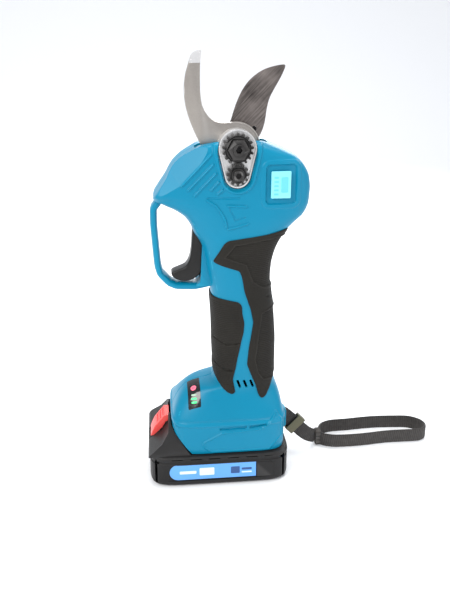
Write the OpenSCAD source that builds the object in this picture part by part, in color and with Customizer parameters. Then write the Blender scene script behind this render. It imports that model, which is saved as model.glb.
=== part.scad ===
// Battery electric pruner, an assembly of named pieces. Origin at the middle of the battery's flat bottom.
// +Z up, -X towards trigger and hook, the working side faces -Y. Millimetres.

/* [Overall] */
// Length of the grip between base and head
handle_len = 110; // [100:1:140]
// Depth of the grip, side to side
grip_d = 41; // [38.5:0.5:50]
// Depth of the head, side to side
head_d = 42; // [41:0.5:50]
// Wall of the moulded housing
wall = 2.4; // [1.8:0.1:2.6]

/* [Blades] */
// Thickness of the fixed hook blade
hook_t = 4.5; // [3:0.1:5]
// Thickness of the moving blade
blade_t = 3.5; // [2.5:0.1:3.6]
// Diameter of the pivot bolt
bolt_d = 10; // [8:0.5:11]
// Gap between the blades
blade_gap = 0.3; // [0.25:0.05:0.4]

/* [Battery] */
// Length of the battery tub
tub_l = 110; // [108:1:132]
// Width of the battery tub
tub_w = 75; // [74:1:90]
// Height of the battery tub
tub_h = 26; // [25:0.5:31]

/* [Drive] */
// Diameter of the motor can
motor_d = 27; // [22:0.5:27.5]
// Length of the motor can
motor_l = 50; // [40:1:52]

/* [Grip panels] */
// How far the rubber stands above the housing
rubber_t = 1.2; // [0.8:0.1:1.5]

/* [Strap] */
// Width of the wrist strap
strap_w = 12; // [10:0.5:13]
// Thickness of the wrist strap
strap_t = 1.5; // [1.2:0.1:1.8]

/* [Which piece] */
// Piece to draw

/* [Hidden] */
$fn = 48;
fit = 0.05;
z0 = tub_h + 1;
zb = z0 + 57;
pz = zb + handle_len + 64;
px = 14;
gd = grip_d / 2;
hd = head_d / 2;
yh = -3;
yb = yh + blade_gap;
yb2 = yb + blade_t;
yf = yb2 + 0.05;
ring_n = 18;

// ---- rounded sections and lofts ----
function sp(v, e) = sign(v) * pow(abs(v), e);
// Half of a rounded section at height z, from xa to xb, depth d to side s
function half(xa, xb, d, q, z, s) =
  [for (i = [0:ring_n]) let (a = 180 * i / ring_n)
    [(xa + xb) / 2 - (xb - xa) / 2 * sp(cos(a), 2 / q), s * d * sp(sin(a), 2 / q), z]];
// The whole of the same section
function whole(xa, xb, d, q, z) =
  [for (i = [0:2 * ring_n - 1]) let (a = 180 * i / ring_n)
    [(xa + xb) / 2 - (xb - xa) / 2 * sp(cos(a), 2 / q), -d * sp(sin(a), 2 / q), z]];
function flip_if(on, f) = on ? [for (i = [len(f) - 1:-1:0]) f[i]] : f;
// Solid through a list of rings of equal count
module loft(rings, turn = false) {
  n = len(rings[0]);
  m = len(rings);
  pts = [for (r = rings) for (p = r) p];
  sides = [for (k = [0:m - 2]) for (i = [0:n - 1]) let (j = (i + 1) % n)
    for (t = [[k * n + i, (k + 1) * n + i, k * n + j], [k * n + j, (k + 1) * n + i, (k + 1) * n + j]]) t];
  low = [for (i = [0:n - 1]) i];
  top = [for (i = [n - 1:-1:0]) (m - 1) * n + i];
  faces = concat([low], sides, [top]);
  polyhedron([for (p = pts) p], [for (f = faces) flip_if(turn, f)], convexity = 8);
}
// Closed smooth curve through hand-set points
function cr(a, b, c, d, t) = 0.5 * (2 * b + (c - a) * t + (2 * a - 5 * b + 4 * c - d) * t * t
  + (3 * b - a - 3 * c + d) * t * t * t);
function smooth(p, k) = let (n = len(p))
  concat([for (i = [0:n - 2]) for (j = [0:k - 1])
    cr(p[max(i - 1, 0)], p[i], p[i + 1], p[min(i + 2, n - 1)], j / k)], [p[n - 1]]);
// Sheet lying in XZ, from y = a to y = b
module slab(pts, a, b) {
  translate([0, b, 0])
    rotate([90, 0, 0])
      linear_extrude(height = b - a)
        polygon(pts);
}
// Round bar along Y, from y = a to y = b
module bar(x, z, r, a, b) {
  translate([x, b, z])
    rotate([90, 0, 0])
      cylinder(r = r, h = b - a);
}
module box(a, b) {
  translate(a)
    cube([b[0] - a[0], b[1] - a[1], b[2] - a[2]]);
}
// Band or cord swept along points, section w tall and t thick
function unit(v) = v / max(norm(v), 1e-9);
function sect(p, i, w, t, up) = let (
    n = len(p),
    d = unit(p[min(i + 1, n - 1)] - p[max(i - 1, 0)]),
    s = unit(cross(d, up)),
    u = unit(cross(s, d)))
  [for (k = [0:7]) let (a = 45 * k + 22.5)
    p[i] + (u * w * sp(cos(a), 0.3) + s * t * sp(sin(a), 0.3)) / 2 / sp(cos(22.5), 0.3)];
module swept(p, w, t, up = [0, 0, 1]) {
  loft([for (i = [0:len(p) - 1]) sect(p, i, w, t, up)], true);
}
// ---- gears ----
function inv(a) = tan(a) * 180 / PI - a;
function tooth_half(r, rp, rb, hp) = r <= rb ? hp + inv(20) : hp + inv(20) - inv(acos(rb / r));
function gear_pts(n, m, add, ded, play, ph) = let (
    rp = n * m / 2, rb = rp * cos(20), ra = rp + add, rr = rp - ded, r0 = max(rb, rr) + 0.001,
    hp = 90 / n - play / 2 / rp * 180 / PI,
    rs = [rr, r0, r0 + (ra - r0) / 3, r0 + (ra - r0) * 2 / 3, ra])
  [for (k = [0:n - 1]) for (j = [0:9]) let (
    i = j < 5 ? j : 9 - j,
    a = ph + 360 * k / n + (j < 5 ? -1 : 1) * tooth_half(rs[i], rp, rb, hp))
    rs[i] * [cos(a), sin(a)]];
// ---- the housing's shape: height, front x, back x, half depth, squareness, cavity step ----
base_l = tub_l / 2 - 55;
base_d = (tub_w - 75) / 2;
base_rows = [
  [0, -36 - base_l, 51.5 + base_l, 34 + base_d, 6, -3],
  [5, -37 - base_l, 52 + base_l, 35 + base_d, 6, 0],
  [18, -36.8 - base_l, 52 + base_l, 35 + base_d, 6, 0],
  [24.5, -36.4 - base_l, 51.8 + base_l, 34.6 + base_d, 6, 0],
  [27, -36 - base_l, 51.5 + base_l, 33.4 + base_d, 6, 0],
  [29.5, -35.2 - base_l, 51.2 + base_l, 31 + base_d, 5.5, -0.4],
  [33, -33.6 - base_l, 50.7 + base_l, 28 + base_d, 4.8, -0.8],
  [37, -31.4 - base_l, 50 + base_l, 25.3 + base_d, 4, -1],
  [41, -28.6 - base_l, 48.8 + base_l, 23 + base_d, 3.4, -1],
  [45, -24.8 - base_l, 47.3, gd + 1.1, 2.9, -1],
  [48, -19 - base_l, 46.2, gd + 0.6, 2.7, -1],
  [50, -11, 45.6, gd + 0.4, 2.6, -1],
  [51.5, -4.5, 45.3, gd + 0.3, 2.6, -1],
  [57, -2.4, 45.2, gd + 0.1, 2.6, 0]];
grip_rows = [
  [0.10, -2, 45, gd, 2.6, 0],
  [0.22, -2.4, 45, gd, 2.6, 0],
  [0.38, -2.7, 44, gd, 2.6, 0],
  [0.52, -3.5, 42.5, gd, 2.6, 0],
  [0.61, -4.5, 41, gd, 2.6, 0],
  [0.70, -6, 40, gd, 2.6, 0],
  [0.79, -8, 40.5, gd, 2.7, 0],
  [0.88, -9.5, 42.5, gd, 2.8, 0],
  [0.96, -12, 46, gd, 3, 0.4]];
head_rows = [
  [-61, -16.5, 51, hd - 0.6, 3.2, 0.8],
  [-54, -19.5, 57.5, hd - 0.2, 3.5, 1],
  [-48, -24, 63.5, hd, 3.9, 1],
  [-43, -31, 66, hd, 4.3, 1],
  [-39, -39, 67, hd, 4.7, 1],
  [-35.5, -45, 67.2, hd, 5, 1],
  [-29, -41.5, 67.5, hd, 5, 0.6],
  [-21, -36, 66.5, hd, 5, 0],
  [-12, -31, 62, hd, 5, -0.5],
  [-6, -25, 56, hd - 0.6, 4.6, -1],
  [-1.5, -17.5, 47, hd - 1.6, 4, -1],
  [2, -10, 39, hd - 3.2, 3.4, -1],
  [4, 2, 34, hd - 5.5, 3, -1]];
rows = concat(
  [for (r = base_rows) [z0 + r[0], r[1], r[2], r[3], r[4], r[5]]],
  [for (r = grip_rows) [zb + handle_len * r[0], r[1], r[2], r[3], r[4], r[5]]],
  [for (r = head_rows) [pz + r[0], r[1], r[2], r[3], r[4], r[5]]]);
module body_half(s, out) {
  loft([for (r = rows) half(r[1] - out, r[2] + out, r[3] + out, r[4], r[0], s)], s > 0);
}
module cavity() {
  loft([for (r = rows) whole(r[1] + wall, r[2] - wall, r[3] - wall, r[4], r[0] + r[5] * wall)]);
}
// Outside skin of thickness t over the housing, on side s
module skin(s, t) {
  difference() {
    body_half(s, t);
    body_half(s, 0);
  }
}
// Finger guard, a rounded bar from the head to the foot of the grip
guard_at = smooth([[-40, pz - 37], [-44.8, pz - 43], [-45.3, pz - 55], [-44.6, pz - 70],
  [-43, pz - 84], [-40, pz - 93], [-34, pz - 99.5], [-26, pz - 102.3], [-16, pz - 102.6],
  [-8, pz - 101.5], [0, pz - 99]], 4);
function guard_ring(i, w, d, s) = let (
    n = len(guard_at),
    t = unit(guard_at[min(i + 1, n - 1)] - guard_at[max(i - 1, 0)]))
  [for (k = [0:8]) let (a = 180 * k / 8, u = -w / 2 * sp(cos(a), 0.7))
    [guard_at[i][0] - t[1] * u, s * d * sp(sin(a), 0.7), guard_at[i][1] + t[0] * u]];
module guard(s) {
  loft([for (i = [0:len(guard_at) - 1]) guard_ring(i, 5.4, 8, s)], s < 0);
}
// Screws that join the halves: x, z, reach each side
screws = [[-26, pz - 28, hd - 2.5], [58, pz - 36, hd - 2.6], [46, pz - 58, hd - 5],
  [34, zb + handle_len * 0.6, gd - 5], [35, zb + 16, gd - 4], [-27 - base_l, z0 + 25, 27 + base_d],
  [44, z0 + 30, 23 + base_d]];
// Battery slide channel through the -X wall of the base, and its lower corner cut back
module slide_way() {
  box([-60, -27, 0], [-20, 27, z0 + 19]);
  slab([[-70, z0 - 2], [-20.3, z0 - 2], [-36.6, z0 + 20], [-70, z0 + 20]], -60, 60);
}
// Trigger slot
module trigger_way(s) {
  slab([[-30, pz - 96], [-1.5, pz - 96], [-1.5, pz - 60], [-4, pz - 47], [-19, pz - 47],
    [-30, pz - 60]], s < 0 ? -7.2 : -1, s < 0 ? 1 : 7.2);
}
// Pear outline round two circles, the second below the first
function pear(r1, r2, d) = let (b = asin((r1 - r2) / d))
  concat([for (i = [0:24]) let (a = -b + (180 + 2 * b) * i / 24) [px + r1 * cos(a), pz + r1 * sin(a)]],
    [for (i = [0:16]) let (a = 180 + b + (180 - 2 * b) * i / 16) [px + r2 * cos(a), pz - d + r2 * sin(a)]]);
lock_m = 1.2;
lock_c = lock_m * 29 / 2;
// Diagonal ridge between two points, in XZ
function ridge(a, b, w) = let (t = unit(b - a), n = [-t[1], t[0]])
  [a + n * w / 2, a - n * w / 2, b - n * w / 2, b + n * w / 2];
seat_c = [-18.8 - base_l, -14.5 - base_d, z0 + 43];
seat_a = 31;
module seat(a, b) {
  translate(seat_c)
    rotate([seat_a, 0, 0])
      box(a, b);
}
// Bosses, posts and ribs that hold what is inside
module ledges(s) {
  bar(tx, tz, 3.4, s < 0 ? -hd : 7.8, s < 0 ? -7.8 : hd);
  for (x = [-22, 22])
    bar(px + x, pz - 25, 2.6, s < 0 ? -hd : 16, s < 0 ? yh - hook_t - 4.5 : hd);
  difference() {
    for (z = [motor_top - 12, motor_top - motor_l + 12])
      box([2, s < 0 ? -gd : 8, z - 1.2], [26, s < 0 ? -8 : gd, z + 1.2]);
    translate([px, 0, 0])
      cylinder(r = motor_d / 2 + 0.1, h = 400);
  }
  difference() {
    box([2, s < 0 ? -gd : 8, gear_top - 4], [26, s < 0 ? -8 : gd, gear_top - 1.6]);
    translate([px, 0, 0])
      cylinder(r = 15.7, h = 400);
  }
  box([-10, s < 0 ? -50 : 18.5, z0 + 21.4], [22, s < 0 ? -18.5 : 50, z0 + 23.4]);
  box([49, s < 0 ? -10 : 0, z0 + 6], [51 + base_l, s < 0 ? 0 : 10, z0 + 18]);
}
module shell_side(s) {
  difference() {
    union() {
      difference() {
        union() {
          body_half(s, 0);
          guard(s);
        }
        cavity();
        slide_way();
        trigger_way(s);
      }
      intersection() {
        union() {
          for (k = screws)
            bar(k[0], k[1], 3.6, s < 0 ? -k[2] : 0, s < 0 ? 0 : k[2]);
        }
        body_half(s, 0);
      }
      intersection() {
        box([48 + base_l, s < 0 ? -3.5 : 0, z0 + 1], [58 + base_l, s < 0 ? 0 : 3.5, z0 + 20]);
        slab([for (q = [[50, 1.5], [55.6, 1.5], [57.2, 3.5], [57.2, 17.5], [55.6, 19.5], [50, 19.5]])
          q + [base_l, z0]], -4, 4);
      }
      intersection() {
        union() {
          ledges(s);
        }
        body_half(s, -0.5);
      }
    }
    for (k = screws)
      bar(k[0], k[1], 1.6, -k[2] + 4, k[2] - 2);
    // blade slot and the pivot's windows
    box([-15, -8.9, pz - 14], [36, 1.8, pz + 30]);
    bar(px, pz, 14, -8.9, 16.8);
    // slot in the lug for the strap
    box([52.3 + base_l, -10, z0 + 4.1], [55 + base_l, 10, z0 + 17]);
    bar(tx, tz, 1.5 + fit, -16.4, 16.4);
  }
}

// ---- housing ----
ridges = [[[-4.5, -4], [-25, -25]], [[-3, -10.5], [-20.5, -28]], [[-1.5, -17], [-16.5, -32]],
  [[0.5, -22.5], [-5, -28]], [[3.5, -28.5], [-0.5, -31]]];
relief_h = 0.6;
// Raised panel and slots on each side of the base, x and height above it
flank = [[-6.6, 1.5], [36, 1.5], [44, 9], [46, 22], [32.3, 20.4], [1.3, 18.3], [-13.5, 10.3], [-12.7, 6.5]];
flank_slots = [[[0, 21.2], [19.8, 21.8]], [[23, 22.1], [35.3, 23.4]]];
vent_step = 5;
function near(s, d) = s < 0 ? -d : 0;
function far(s, d) = s < 0 ? 0 : d;
// Strengthening ridges and panel raised on side s
module relief(s) {
  for (r = ridges)
    slab(ridge([r[0][0], pz + r[0][1]], [r[1][0], pz + r[1][1]], 2.2), near(s, hd + 3), far(s, hd + 3));
  slab([for (q = flank) [q[0], z0 + q[1]]], near(s, 60), far(s, 60));
}
// Vents at the foot of the grip and slots along the base, on side s
module side_cuts(s) {
  slot_y = 32.8 + base_d;
  for (i = [0:2])
    slab(ridge([17 + vent_step * i, zb - 8], [14.5 + vent_step * i, zb - 1.5], 1.8),
      s < 0 ? -40 : 10, s < 0 ? -10 : 40);
  for (g = flank_slots)
    slab(ridge([g[0][0], z0 + g[0][1]], [g[1][0], z0 + g[1][1]], 1.5),
      s < 0 ? -60 : slot_y, s < 0 ? -slot_y : 60);
}
module shell_front() {
  color([0.02, 0.5, 0.68])
    difference() {
      union() {
        shell_side(-1);
        intersection() {
          skin(-1, relief_h);
          union() {
            relief(-1);
            slab(ridge([-7, pz - 34.5], [16, pz - 34.5], 1.6), -hd - 3, 0);
            slab(ridge([7, pz - 42], [13, pz - 50], 1.4), -hd - 3, 0);
            slab(ridge([13, pz - 50], [20, pz - 47], 1.4), -hd - 3, 0);
            slab([[32, pz - 3], [58, pz - 10], [60, pz - 33], [34, pz - 38]], -hd - 3, 0);
          }
        }
      }
      // window for the front plate, with its lip
      slab(pear(13.6, 9.4, lock_c + 0.6), -hd - 5, -5);
      // seat of the badge
      slab([[37, pz - 15], [51.5, pz - 15], [51.5, pz - 34.5], [37, pz - 34.5]], -hd - 5, -hd + 0.5);
      // seat of the light panel
      seat([-5, -13, -2.6], [5, 13, 30]);
      side_cuts(-1);
    }
}
module shell_rear() {
  color([0.02, 0.48, 0.66])
    difference() {
      union() {
        shell_side(1);
        intersection() {
          skin(1, relief_h);
          relief(1);
        }
      }
      bar(px, pz, 10.6, 5, hd + 5);
      side_cuts(1);
      // screw head pockets
      for (k = screws)
        bar(k[0], k[1], 3.1, k[2] - 2, 60);
    }
}
module shell_screws() {
  color([0.15, 0.15, 0.16])
    for (k = screws)
      difference() {
        union() {
          bar(k[0], k[1], 2.9, k[2] - 1.98, k[2] + 0.2);
          bar(k[0], k[1], 1.55, -k[2] + 6, k[2] - 1.9);
        }
        bar(k[0], k[1], 1.2, k[2] - 1, k[2] + 1);
      }
}
// Front rubber panel's outline on the side of the grip: x, z as a share of the grip's length
function gz(f) = zb + handle_len * f;
front_outline = [[-12, gz(0.6)], [6, gz(0.585)], [15, gz(0.57)], [17.5, gz(0.545)], [18, gz(0.48)],
  [19.5, gz(0.42)], [19, gz(0.35)], [17.5, gz(0.29)], [16, gz(0.22)], [14.5, gz(0.155)],
  [13, gz(0.07)], [11, gz(-0.005)], [12, gz(-0.06)], [13, gz(-0.10)], [10.5, gz(-0.115)],
  [7, gz(-0.10)], [0, gz(-0.04)], [-4, gz(0.02)], [-12, gz(0.02)]];
rear_outline = [[52, gz(1.06)], [36, gz(1.03)], [7.5, gz(0.995)], [4.5, gz(0.975)], [-3.5, gz(0.85)],
  [1.5, gz(0.83)], [8.5, gz(0.81)], [15.5, gz(0.79)], [17.5, gz(0.745)], [19.5, gz(0.64)],
  [24.3, gz(0.51)], [26.3, gz(0.42)], [25, gz(0.335)], [23, gz(0.22)], [22, gz(0.105)], [25, gz(0.03)],
  [29, gz(-0.06)], [31, gz(-0.13)], [33.5, gz(-0.155)], [37, gz(-0.14)], [41, gz(-0.09)],
  [44, gz(-0.02)], [52, gz(0)], [52, gz(0.3)], [52, gz(0.7)]];
module panel(s, outline, grooves) {
  difference() {
    intersection() {
      difference() {
        body_half(s, rubber_t);
        body_half(s, 0);
        intersection() {
          for_all(grooves, s);
          difference() {
            body_half(s, rubber_t + 1);
            body_half(s, rubber_t * 0.45);
          }
        }
      }
      slab(outline, s < 0 ? -gd - 6 : 0.15, s < 0 ? -0.15 : gd + 6);
    }
    if (s > 0)
      for (k = screws)
        bar(k[0], k[1], 3.4, 0, 50);
  }
}
module for_all(grooves, s) {
  for (g = grooves)
    slab(ridge([g[0], gz(g[1])], [g[2], gz(g[3])], 0.9), s < 0 ? -40 : 0, s < 0 ? 0 : 40);
}
front_grooves = [[-8, 0.31, 6, 0.255], [6, 0.255, 18, 0.275], [-8, 0.12, 3, 0.065], [3, 0.065, 14, 0.06]];
rear_grooves = [[29, 0.8, 33, 0.72], [33, 0.72, 34.5, 0.6], [34.5, 0.6, 50, 0.53], [27.5, 0.42, 50, 0.46],
  [27.5, 0.3, 50, 0.34], [26.5, 0.18, 50, 0.22]];
module grip_front_near() {
  color([0.09, 0.09, 0.09])
    panel(-1, front_outline, front_grooves);
}
module grip_rear_near() {
  color([0.09, 0.09, 0.09])
    panel(-1, rear_outline, rear_grooves);
}
module grip_front_far() {
  color([0.09, 0.09, 0.09])
    panel(1, front_outline, front_grooves);
}
module grip_rear_far() {
  color([0.09, 0.09, 0.09])
    panel(1, rear_outline, rear_grooves);
}
module badge() {
  color([0.5, 0.9, 0.98])
    slab([[37.3, pz - 15.3], [51.2, pz - 15.3], [51.2, pz - 34.2],
      [37.3, pz - 34.2]], -hd - 0.7, -hd + 0.48);
}

// ---- blades and head ----
hook_out = smooth([[-23.2, 63.4], [-26.5, 63], [-29.5, 61.4], [-31.2, 58.5], [-32.5, 54.5],
  [-34.4, 48], [-35.4, 41], [-35.4, 34], [-34.4, 26.5], [-32, 18], [-28.6, 9.5], [-24.5, 1], [-21, -6],
  [-15, -12.5]], 4);
hook_in = smooth([[-3, 16.8], [-8, 16.2], [-13, 16.9], [-17.2, 19], [-20.4, 22.6], [-22.8, 27],
  [-24, 32], [-24.5, 39], [-24.5, 48], [-24.2, 56], [-23.2, 63.3]], 4);
module hook_blade() {
  color([0.66, 0.63, 0.58])
    difference() {
      union() {
        translate([px, 0, pz])
          slab(concat(hook_out, [[0, -14], [0, 14]], hook_in), yh - hook_t, yh);
        bar(px, pz, 17, yh - hook_t, yh);
        difference() {
          bar(px, pz, 17, yh - hook_t - 0.9, yh - hook_t);
          bar(px, pz, 15.2, yh - hook_t - 2, yh);
          box([px - 20, -20, pz - 20], [px + 20, 0, pz + 1]);
        }
      }
      bar(px, pz, bolt_d / 2 + fit, -30, 30);
      for (h = [[-17, -4], [-9.5, -13.2]]) {
        bar(px + h[0], pz + h[1], 1.65, -30, 30);
        bar(px + h[0], pz + h[1], 2.9, yh - 1.8, yh + 1);
      }
    }
}
module hook_screws() {
  color([0.35, 0.35, 0.36])
    for (h = [[-17, -4], [-9.5, -13.2]]) {
      bar(px + h[0], pz + h[1], 1.6, yh - hook_t - 3.5, yh - 0.2);
      bar(px + h[0], pz + h[1], 2.8, yh - 1.75, yh - 0.15);
    }
}
cut_edge = smooth([[-6, 12], [-3.2, 17.6], [-1.2, 24], [1, 30], [3.8, 36], [7, 41], [10.6, 45],
  [15.2, 48.6], [20.6, 51.4], [27.2, 53.3], [32.8, 54.1], [34.2, 53.6]], 4);
back_edge = smooth([[34, 52], [31.8, 47], [29.6, 43], [26.3, 37.2], [24.3, 33.4], [22.9, 29.4],
  [21.8, 24], [21.1, 18.4], [19.9, 13], [17.6, 7.5], [13, 1]], 4);
bevel_w = 3.4;
// Wedge that grinds the cutting edge, fading out at the tip
function wedge(i) = let (
    n = len(cut_edge),
    d = unit(cut_edge[min(i + 1, n - 1)] - cut_edge[max(i - 1, 0)]),
    o = [-d[1], d[0]],
    w = bevel_w * max(0.15, min(1, (n - 1 - i) / 8)),
    k = (blade_t - 0.4) / w,
    q = [cut_edge[i] + o, cut_edge[i] - o * (w + 0.5 / k)])
  [[q[0][0], yb + 0.4 - k, q[0][1]], [q[1][0], yb2 + 0.5, q[1][1]], [q[0][0], yb2 + 0.5, q[0][1]]];
module moving_blade() {
  color([0.54, 0.52, 0.5])
    difference() {
      union() {
        translate([px, 0, pz])
          difference() {
            slab(concat(cut_edge, back_edge, [[6, -4], [-4, 0]]), yb, yb2);
            loft([for (i = [0:len(cut_edge) - 1]) wedge(i)]);
          }
        bar(px, pz, 13, yb, yb2);
      }
      bar(px, pz, bolt_d / 2 + fit, -30, 30);
      bar(px + 13.2, pz + 11.6, 1.9, -30, 30);
      for (a = [40, 220])
        bar(px + 9.2 * cos(a), pz + 9.2 * sin(a), 2, -30, 30);
    }
}
fan_m = 1.25;
fan_r = 25;
pin_r = 7.5;
cone_k = 0.72;
fan_e = unit([fan_r, pin_r]);
fan_n = [fan_e[1], -fan_e[0]];
// One tapered tooth of the fan gear at angle a
module fan_tooth(a) {
  w = PI * fan_m / 2 - 0.35;
  o = [for (h = [-1.6, 0.9]) [fan_r, pin_r] + h * fan_n];
  hw = [w / 2 + 1.6 * tan(20), w / 2 - 0.9 * tan(20)];
  ring = [for (q = [[0, -1], [0, 1], [1, 1], [1, -1]])
    [o[q[0]][0] * cos(a) - q[1] * hw[q[0]] * sin(a), o[q[0]][1],
      o[q[0]][0] * sin(a) + q[1] * hw[q[0]] * cos(a)]];
  translate([px, 0, pz])
    loft([ring, [for (p = ring) p * cone_k]], true);
}
module fan_gear() {
  color([0.4, 0.4, 0.42])
    difference() {
      union() {
        bar(px, pz, 13, yf, 5.5);
        bar(px, pz, 9, 5, 12);
        intersection() {
          translate([px, 0, pz])
            rotate([-90, 0, 0])
              rotate_extrude()
                polygon([[6, 2.5], [13.5, 2.5], [17.2, 6.4], [18.35, 6.45], [24.6, 8.75], [25.6, 9.1],
                  [25.6, 12], [6, 12]]);
          translate([px, 0, pz])
            slab([[0, 6], [-30, -11], [-34, -34], [0, -40], [6.2, -40], [6.2, -8], [4, 0]], 0, 14);
        }
        for (i = [0:8])
          fan_tooth(270 - 4.5 - 9 * i + 9);
      }
      bar(px, pz, bolt_d / 2 + fit, -30, 30);
      for (a = [40, 220])
        bar(px + 9.2 * cos(a), pz + 9.2 * sin(a), 2, -1, 4.6);
    }
}
module drive_pins() {
  color([0.7, 0.7, 0.72])
    for (a = [40, 220])
      bar(px + 9.2 * cos(a), pz + 9.2 * sin(a), 2, yb + 0.3, 4.6);
}
plate_y = -hd + 2;
module front_plate() {
  color([0.78, 0.78, 0.77])
    difference() {
      union() {
        slab(pear(13.2, 9, lock_c + 0.6), plate_y, yh - hook_t);
        slab([[px - 33, pz - 33], [px + 33, pz - 33], [px + 33, pz - 14], [px + 13, pz - 4],
          [px - 16.5, pz - 1], [px - 22, pz - 4], [px - 33, pz - 16]], yh - hook_t - 4.5, yh - hook_t);
      }
      translate([px, 0, pz - 34])
        cylinder(r = 9, h = 18);
      slab(pear(12.3, 8.2, lock_c + 0.3), plate_y - 1, plate_y + 1.5);
      bar(px, pz, bolt_d / 2 + fit, -40, 40);
      bar(px, pz - lock_c, 2.05, -40, 40);
      for (h = [[-17, -4], [-9.5, -13.2]])
        bar(px + h[0], pz + h[1], 1.65, yh - hook_t - 4, yh);
      for (x = [-30.5, 30.5])
        for (z = [-17.5, -30.5])
          bar(px + x, pz + z, 1.65, -40, 40);
    }
}
module case_screws() {
  color([0.2, 0.2, 0.21])
    for (x = [-30.5, 30.5])
      for (z = [-17.5, -30.5])
        difference() {
          union() {
            bar(px + x, pz + z, 2.4, yh - hook_t - 7.4, yh - hook_t - 4.5);
            bar(px + x, pz + z, 1.6, yh - hook_t - 4.6, 4);
          }
          translate([px + x, yh - hook_t - 5.9, pz + z])
            rotate([90, 0, 0])
              cylinder(r = 1.5, h = 3, $fn = 6);
        }
}
module gear_case() {
  color([0.72, 0.72, 0.71])
    difference() {
      union() {
        slab([[px - 33, pz - 33], [px + 33, pz - 33], [px + 33, pz - 18], [px + 10, pz],
          [px - 10, pz], [px - 33, pz - 18]], 13, 16);
        bar(px, pz, 10.2, 13, 16);
        for (x = [-33, 28.4])
          box([px + x, yh - hook_t, pz - 33], [px + x + 4.6, 13.1, pz - 14]);
        box([px - 33, yh - hook_t, pz - 33], [px + 33, 13.1, pz - 28.6]);
        translate([px, 0, pz - 52])
          cylinder(r = 11, h = 19);
      }
      bar(px, pz, bolt_d / 2 + fit, -40, 40);
      translate([px, 0, pz - 60])
        cylinder(r = 7 + fit, h = 40);
      for (x = [-30.5, 30.5])
        for (z = [-17.5, -30.5])
          bar(px + x, pz + z, 1.65, yh - hook_t - 1, 5);
    }
}
module thrust_washer() {
  color([0.72, 0.52, 0.25])
    difference() {
      bar(px, pz, 9, 12.05, 12.95);
      bar(px, pz, bolt_d / 2 + fit, -30, 30);
    }
}
module pivot_bolt() {
  color([0.16, 0.16, 0.17])
    difference() {
      union() {
        bar(px, pz, bolt_d / 2, plate_y + 1.6, 16.1);
        bar(px, pz, 4, plate_y - 8, plate_y + 2);
        bar(px, pz, 8, 16.05, hd + 1);
      }
      translate([px, plate_y - 5, pz])
        rotate([90, 0, 0])
          cylinder(r = 2.3, h = 4, $fn = 6);
      translate([px, hd + 2, pz])
        rotate([90, 0, 0])
          cylinder(r = 4.4, h = 4, $fn = 6);
    }
}
module lock_gear(n, a, b, x, z, ph) {
  translate([x, b, z])
    rotate([90, 0, 0])
      linear_extrude(height = b - a)
        polygon(gear_pts(n, lock_m, 0.75, 1.05, 0.2, ph));
}
module toothed_nut() {
  color([0.12, 0.12, 0.13])
    difference() {
      union() {
        lock_gear(17, plate_y - 2.4, plate_y + 1.45, px, pz, 270 + 180 / 17);
        bar(px, pz, 8.2, plate_y - 2.9, plate_y);
        translate([px, plate_y - 2.8, pz])
          rotate([90, 0, 0])
            cylinder(r = 7.4, h = 4.2, $fn = 6);
      }
      bar(px, pz, 4 + fit, -40, 0);
      bar(px, pz, 5.1, plate_y + 1.4, 0);
    }
}
module lock_pinion() {
  color([0.12, 0.12, 0.13])
    difference() {
      union() {
        lock_gear(12, plate_y - 2.4, plate_y + 1.45, px, pz - lock_c, 90);
        bar(px, pz - lock_c, 4.6, plate_y - 3.6, plate_y);
      }
      bar(px, pz - lock_c, 2.05, -40, 0);
    }
}
module lock_screw() {
  color([0.2, 0.2, 0.21])
    difference() {
      union() {
        bar(px, pz - lock_c, 3.6, plate_y - 6.4, plate_y - 3.65);
        bar(px, pz - lock_c, 2, plate_y - 4, yh - hook_t - 1);
      }
      translate([px, plate_y - 5, pz - lock_c])
        rotate([90, 0, 0])
          cylinder(r = 1.9, h = 3, $fn = 6);
    }
}

// ---- drive: bevel pinion, planet stage, motor ----
// One tapered tooth of the pinion, at angle a
module pinion_tooth(a) {
  rb = pin_r * cos(20);
  hp = 90 / 12 - 0.35 / 2 / pin_r * 180 / PI;
  lv = [[5.6, pin_r - 1.0], [7.05, 7.05], [7.75, 7.75], [8.4, 8.4]];
  pts = concat([for (v = lv) [v[0], -tooth_half(v[1], pin_r, rb, hp)]],
    [for (i = [3:-1:0]) [lv[i][0], tooth_half(lv[i][1], pin_r, rb, hp)]]);
  ring = [for (q = pts) [q[0] * cos(a + q[1]), q[0] * sin(a + q[1]), -fan_r]];
  translate([px, 0, pz])
    loft([ring, [for (q = ring) q * cone_k]]);
}
module bevel_pinion() {
  color([0.45, 0.45, 0.47])
    union() {
      for (i = [0:11])
        pinion_tooth(90 + 30 * i);
      translate([px, 0, pz - fan_r - 0.2])
        cylinder(r1 = 6.1, r2 = 6.1 * cone_k - 0.05, h = 7.4);
      translate([px, 0, pz - 28])
        cylinder(r = 5, h = 3.1);
      translate([px, 0, pz - 57])
        cylinder(r = 4, h = 30);
    }
}
module pinion_bush() {
  color([0.75, 0.55, 0.28])
    difference() {
      translate([px, 0, pz - 52])
        cylinder(r = 7, h = 23);
      translate([px, 0, pz - 60])
        cylinder(r = 4 + fit, h = 40);
    }
}
pm = 0.75;
pc = 12 * pm;
gear_top = pz - 58;
gear_h = 12;
module carrier() {
  color([0.5, 0.5, 0.52])
    difference() {
      union() {
        translate([px, 0, gear_top])
          cylinder(r = 12.4, h = 3);
        translate([px, 0, gear_top + 2.9])
          cylinder(r = 6.6, h = 2.8);
        for (k = [0:2])
          translate([px + pc * cos(90 + 120 * k), pc * sin(90 + 120 * k), gear_top - gear_h + 1])
            cylinder(r = 1.5, h = gear_h);
      }
      translate([px, 0, gear_top + 1])
        cylinder(r = 4, h = 20);
    }
}
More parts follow.
